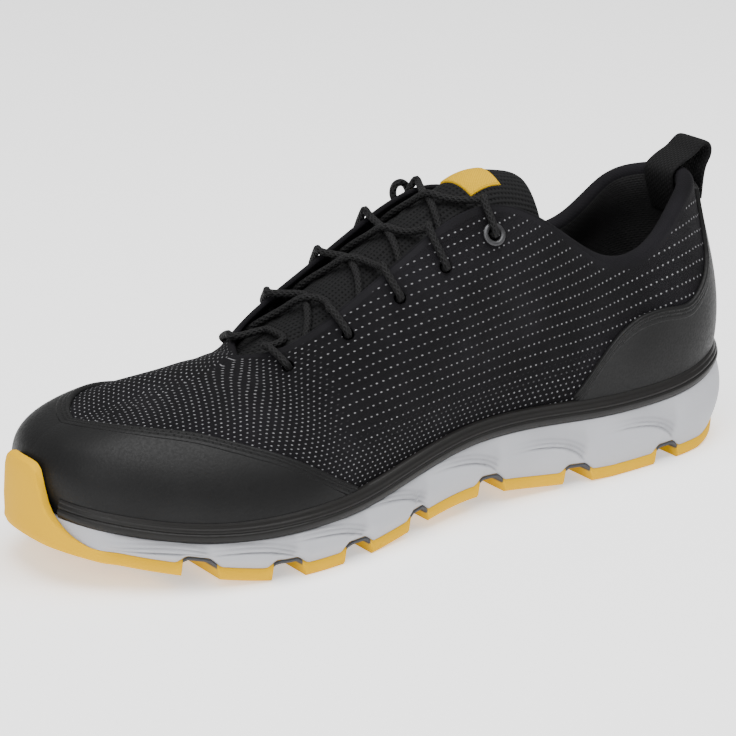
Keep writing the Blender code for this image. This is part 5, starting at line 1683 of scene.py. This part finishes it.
def assign(node, finish):
    """Gives a CAD node its finish."""
    node.data.materials.clear()
    node.data.materials.append(finish)


class SNEAKER_OT_upper(bpy.types.Operator):
    """Knitted upper with its collar, eyelets and lining"""
    bl_idname = "sneaker.upper"
    bl_label = "Knitted upper"

    def execute(self, context):
        cloth = context.scene.sneaker_cloth
        binding = plain_cloth_finish("black_binding", cloth.knit_colour, 0.0007, 0.00008)
        lining = plain_cloth_finish("black_lining", cloth.lining_colour, 0.0011, 0.0002)
        make_upper_piece([knit_finish(cloth), binding, lining])
        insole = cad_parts["insole"]
        assign(insole, rubber_finish("insole_cloth", cloth.lining_colour, 0.9, 0.0003))
        return {"FINISHED"}


class SNEAKER_OT_overlays(bpy.types.Operator):
    """Toe cap and heel counter with their sewn edges"""
    bl_idname = "sneaker.overlays"
    bl_label = "Toe cap and counter"

    def execute(self, context):
        finish = coated_finish(context.scene.sneaker_rubber)
        make_toe_cap_piece([finish])
        make_counter_piece([finish])
        return {"FINISHED"}


class SNEAKER_OT_sole(bpy.types.Operator):
    """Rand, waved midsole and lugged outsole"""
    bl_idname = "sneaker.sole"
    bl_label = "Sole"

    def execute(self, context):
        rubber = context.scene.sneaker_rubber
        make_rand_piece([rubber_finish("black_rubber", rubber.rand_colour, 0.42)])
        make_midsole_piece([foam_groove_shade_finish(rubber)])
        make_outsole_piece([tread_notch_shade_finish(rubber)])
        return {"FINISHED"}


class SNEAKER_OT_tongue(bpy.types.Operator):
    """Padded tongue and its plain patch"""
    bl_idname = "sneaker.tongue"
    bl_label = "Tongue"

    def execute(self, context):
        cloth = context.scene.sneaker_cloth
        lining = plain_cloth_finish("tongue_lining", cloth.lining_colour, 0.001, 0.0002)
        make_tongue_piece([tongue_finish(cloth), lining])
        make_patch_piece([patch_finish(cloth)])
        return {"FINISHED"}


class SNEAKER_OT_laces(bpy.types.Operator):
    """Laces, their small loop and the top eyelet rings"""
    bl_idname = "sneaker.laces"
    bl_label = "Laces"

    def execute(self, context):
        cord = cord_finish(context.scene.sneaker_cloth)
        make_lace_pieces([cord])
        make_ring_pieces([metal_finish()])
        make_loop_piece([cord])
        return {"FINISHED"}


class SNEAKER_OT_pull_loop(bpy.types.Operator):
    """Webbing loop over the back of the collar"""
    bl_idname = "sneaker.pull_loop"
    bl_label = "Pull loop"

    def execute(self, context):
        make_pull_loop_piece([webbing_finish(context.scene.sneaker_cloth)])
        return {"FINISHED"}


def add_light(name, place, aim, size, power):
    """Large square area light that faces a point."""
    data = bpy.data.lights.new(name, "AREA")
    data.shape = "SQUARE"
    data.size = size
    data.energy = power
    made = add_object(name, data)
    made.location = place
    made.rotation_euler = (Vector(place) - Vector(aim)).to_track_quat("Z", "Y").to_euler()


class SNEAKER_OT_stage(bpy.types.Operator):
    """Pale floor, soft studio light and the camera"""
    bl_idname = "sneaker.stage"
    bl_label = "Stage"

    def execute(self, context):
        stage = context.scene.sneaker_stage
        mesh = bmesh.new()
        bmesh.ops.create_grid(mesh, x_segments=4, y_segments=4, size=4.0)
        floor = add_object("studio_floor", mesh)
        floor.data.materials.append(floor_finish(stage))
        world = bpy.data.worlds.new("studio")
        world.use_nodes = True
        sky = world.node_tree.nodes["Background"].inputs
        sky["Color"].default_value = (1.0, 1.0, 1.0, 1.0)
        sky["Strength"].default_value = stage.sky
        context.scene.world = world
        add_light("key_light", (0.1, 0.3, 1.6), (0.1, 0.0, 0.0), 1.6, stage.key_power)
        add_light("side_light", (1.2, 0.6, 0.7), (0.15, 0.0, 0.04), 0.8, stage.side_power)
        data = bpy.data.cameras.new("camera")
        data.lens = stage.lens
        data.shift_x = -CAMERA_OFFSET[0] / PICTURE
        data.shift_y = CAMERA_OFFSET[1] / PICTURE
        data.clip_start = 0.05
        camera = add_object("camera", data)
        turn, rise, roll = (math.radians(angle) for angle in CAMERA_ANGLES)
        back = Vector((math.sin(turn) * math.cos(rise), math.cos(turn) * math.cos(rise), math.sin(rise)))
        camera.location = Vector(CAMERA_TARGET) + back * CAMERA_DISTANCE
        facing = back.to_track_quat("Z", "Y") @ Matrix.Rotation(roll, 3, "Z").to_quaternion()
        camera.rotation_euler = facing.to_euler()
        context.scene.camera = camera
        return {"FINISHED"}


PIECES = (SNEAKER_OT_stage, SNEAKER_OT_laces, SNEAKER_OT_upper, SNEAKER_OT_overlays, SNEAKER_OT_sole,
          SNEAKER_OT_tongue, SNEAKER_OT_pull_loop)


class SNEAKER_PT_pieces(bpy.types.Panel):
    """Sizes, colours and pieces of the sneaker"""
    bl_idname = "SNEAKER_PT_pieces"
    bl_label = "Safety sneaker"
    bl_space_type = "VIEW_3D"
    bl_region_type = "UI"
    bl_category = "Sneaker"

    def draw(self, context):
        for group in (context.scene.sneaker_cloth, context.scene.sneaker_rubber, context.scene.sneaker_stage):
            box = self.layout.box()
            for name in group.__annotations__:
                box.prop(group, name)
        for piece in PIECES:
            self.layout.operator(piece.bl_idname)


CLASSES = (SneakerCloth, SneakerRubber, SneakerStage, *PIECES, SNEAKER_PT_pieces)


def register():
    for made in CLASSES:
        bpy.utils.register_class(made)
    bpy.types.Scene.sneaker_cloth = bpy.props.PointerProperty(type=SneakerCloth)
    bpy.types.Scene.sneaker_rubber = bpy.props.PointerProperty(type=SneakerRubber)
    bpy.types.Scene.sneaker_stage = bpy.props.PointerProperty(type=SneakerStage)


def unregister():
    del bpy.types.Scene.sneaker_cloth
    del bpy.types.Scene.sneaker_rubber
    del bpy.types.Scene.sneaker_stage
    for made in reversed(CLASSES):
        bpy.utils.unregister_class(made)


def main():
    """Builds every piece."""
    register()
    for make_group in (stitch_dots_group, grain_group, sewn_edge_group, weave_group, braid_group):
        make_group()
    bpy.ops.sneaker.stage()
    bpy.ops.sneaker.laces()
    bpy.ops.sneaker.upper()
    bpy.ops.sneaker.overlays()
    bpy.ops.sneaker.sole()
    bpy.ops.sneaker.tongue()
    bpy.ops.sneaker.pull_loop()


if __name__ == "__main__":
    main()
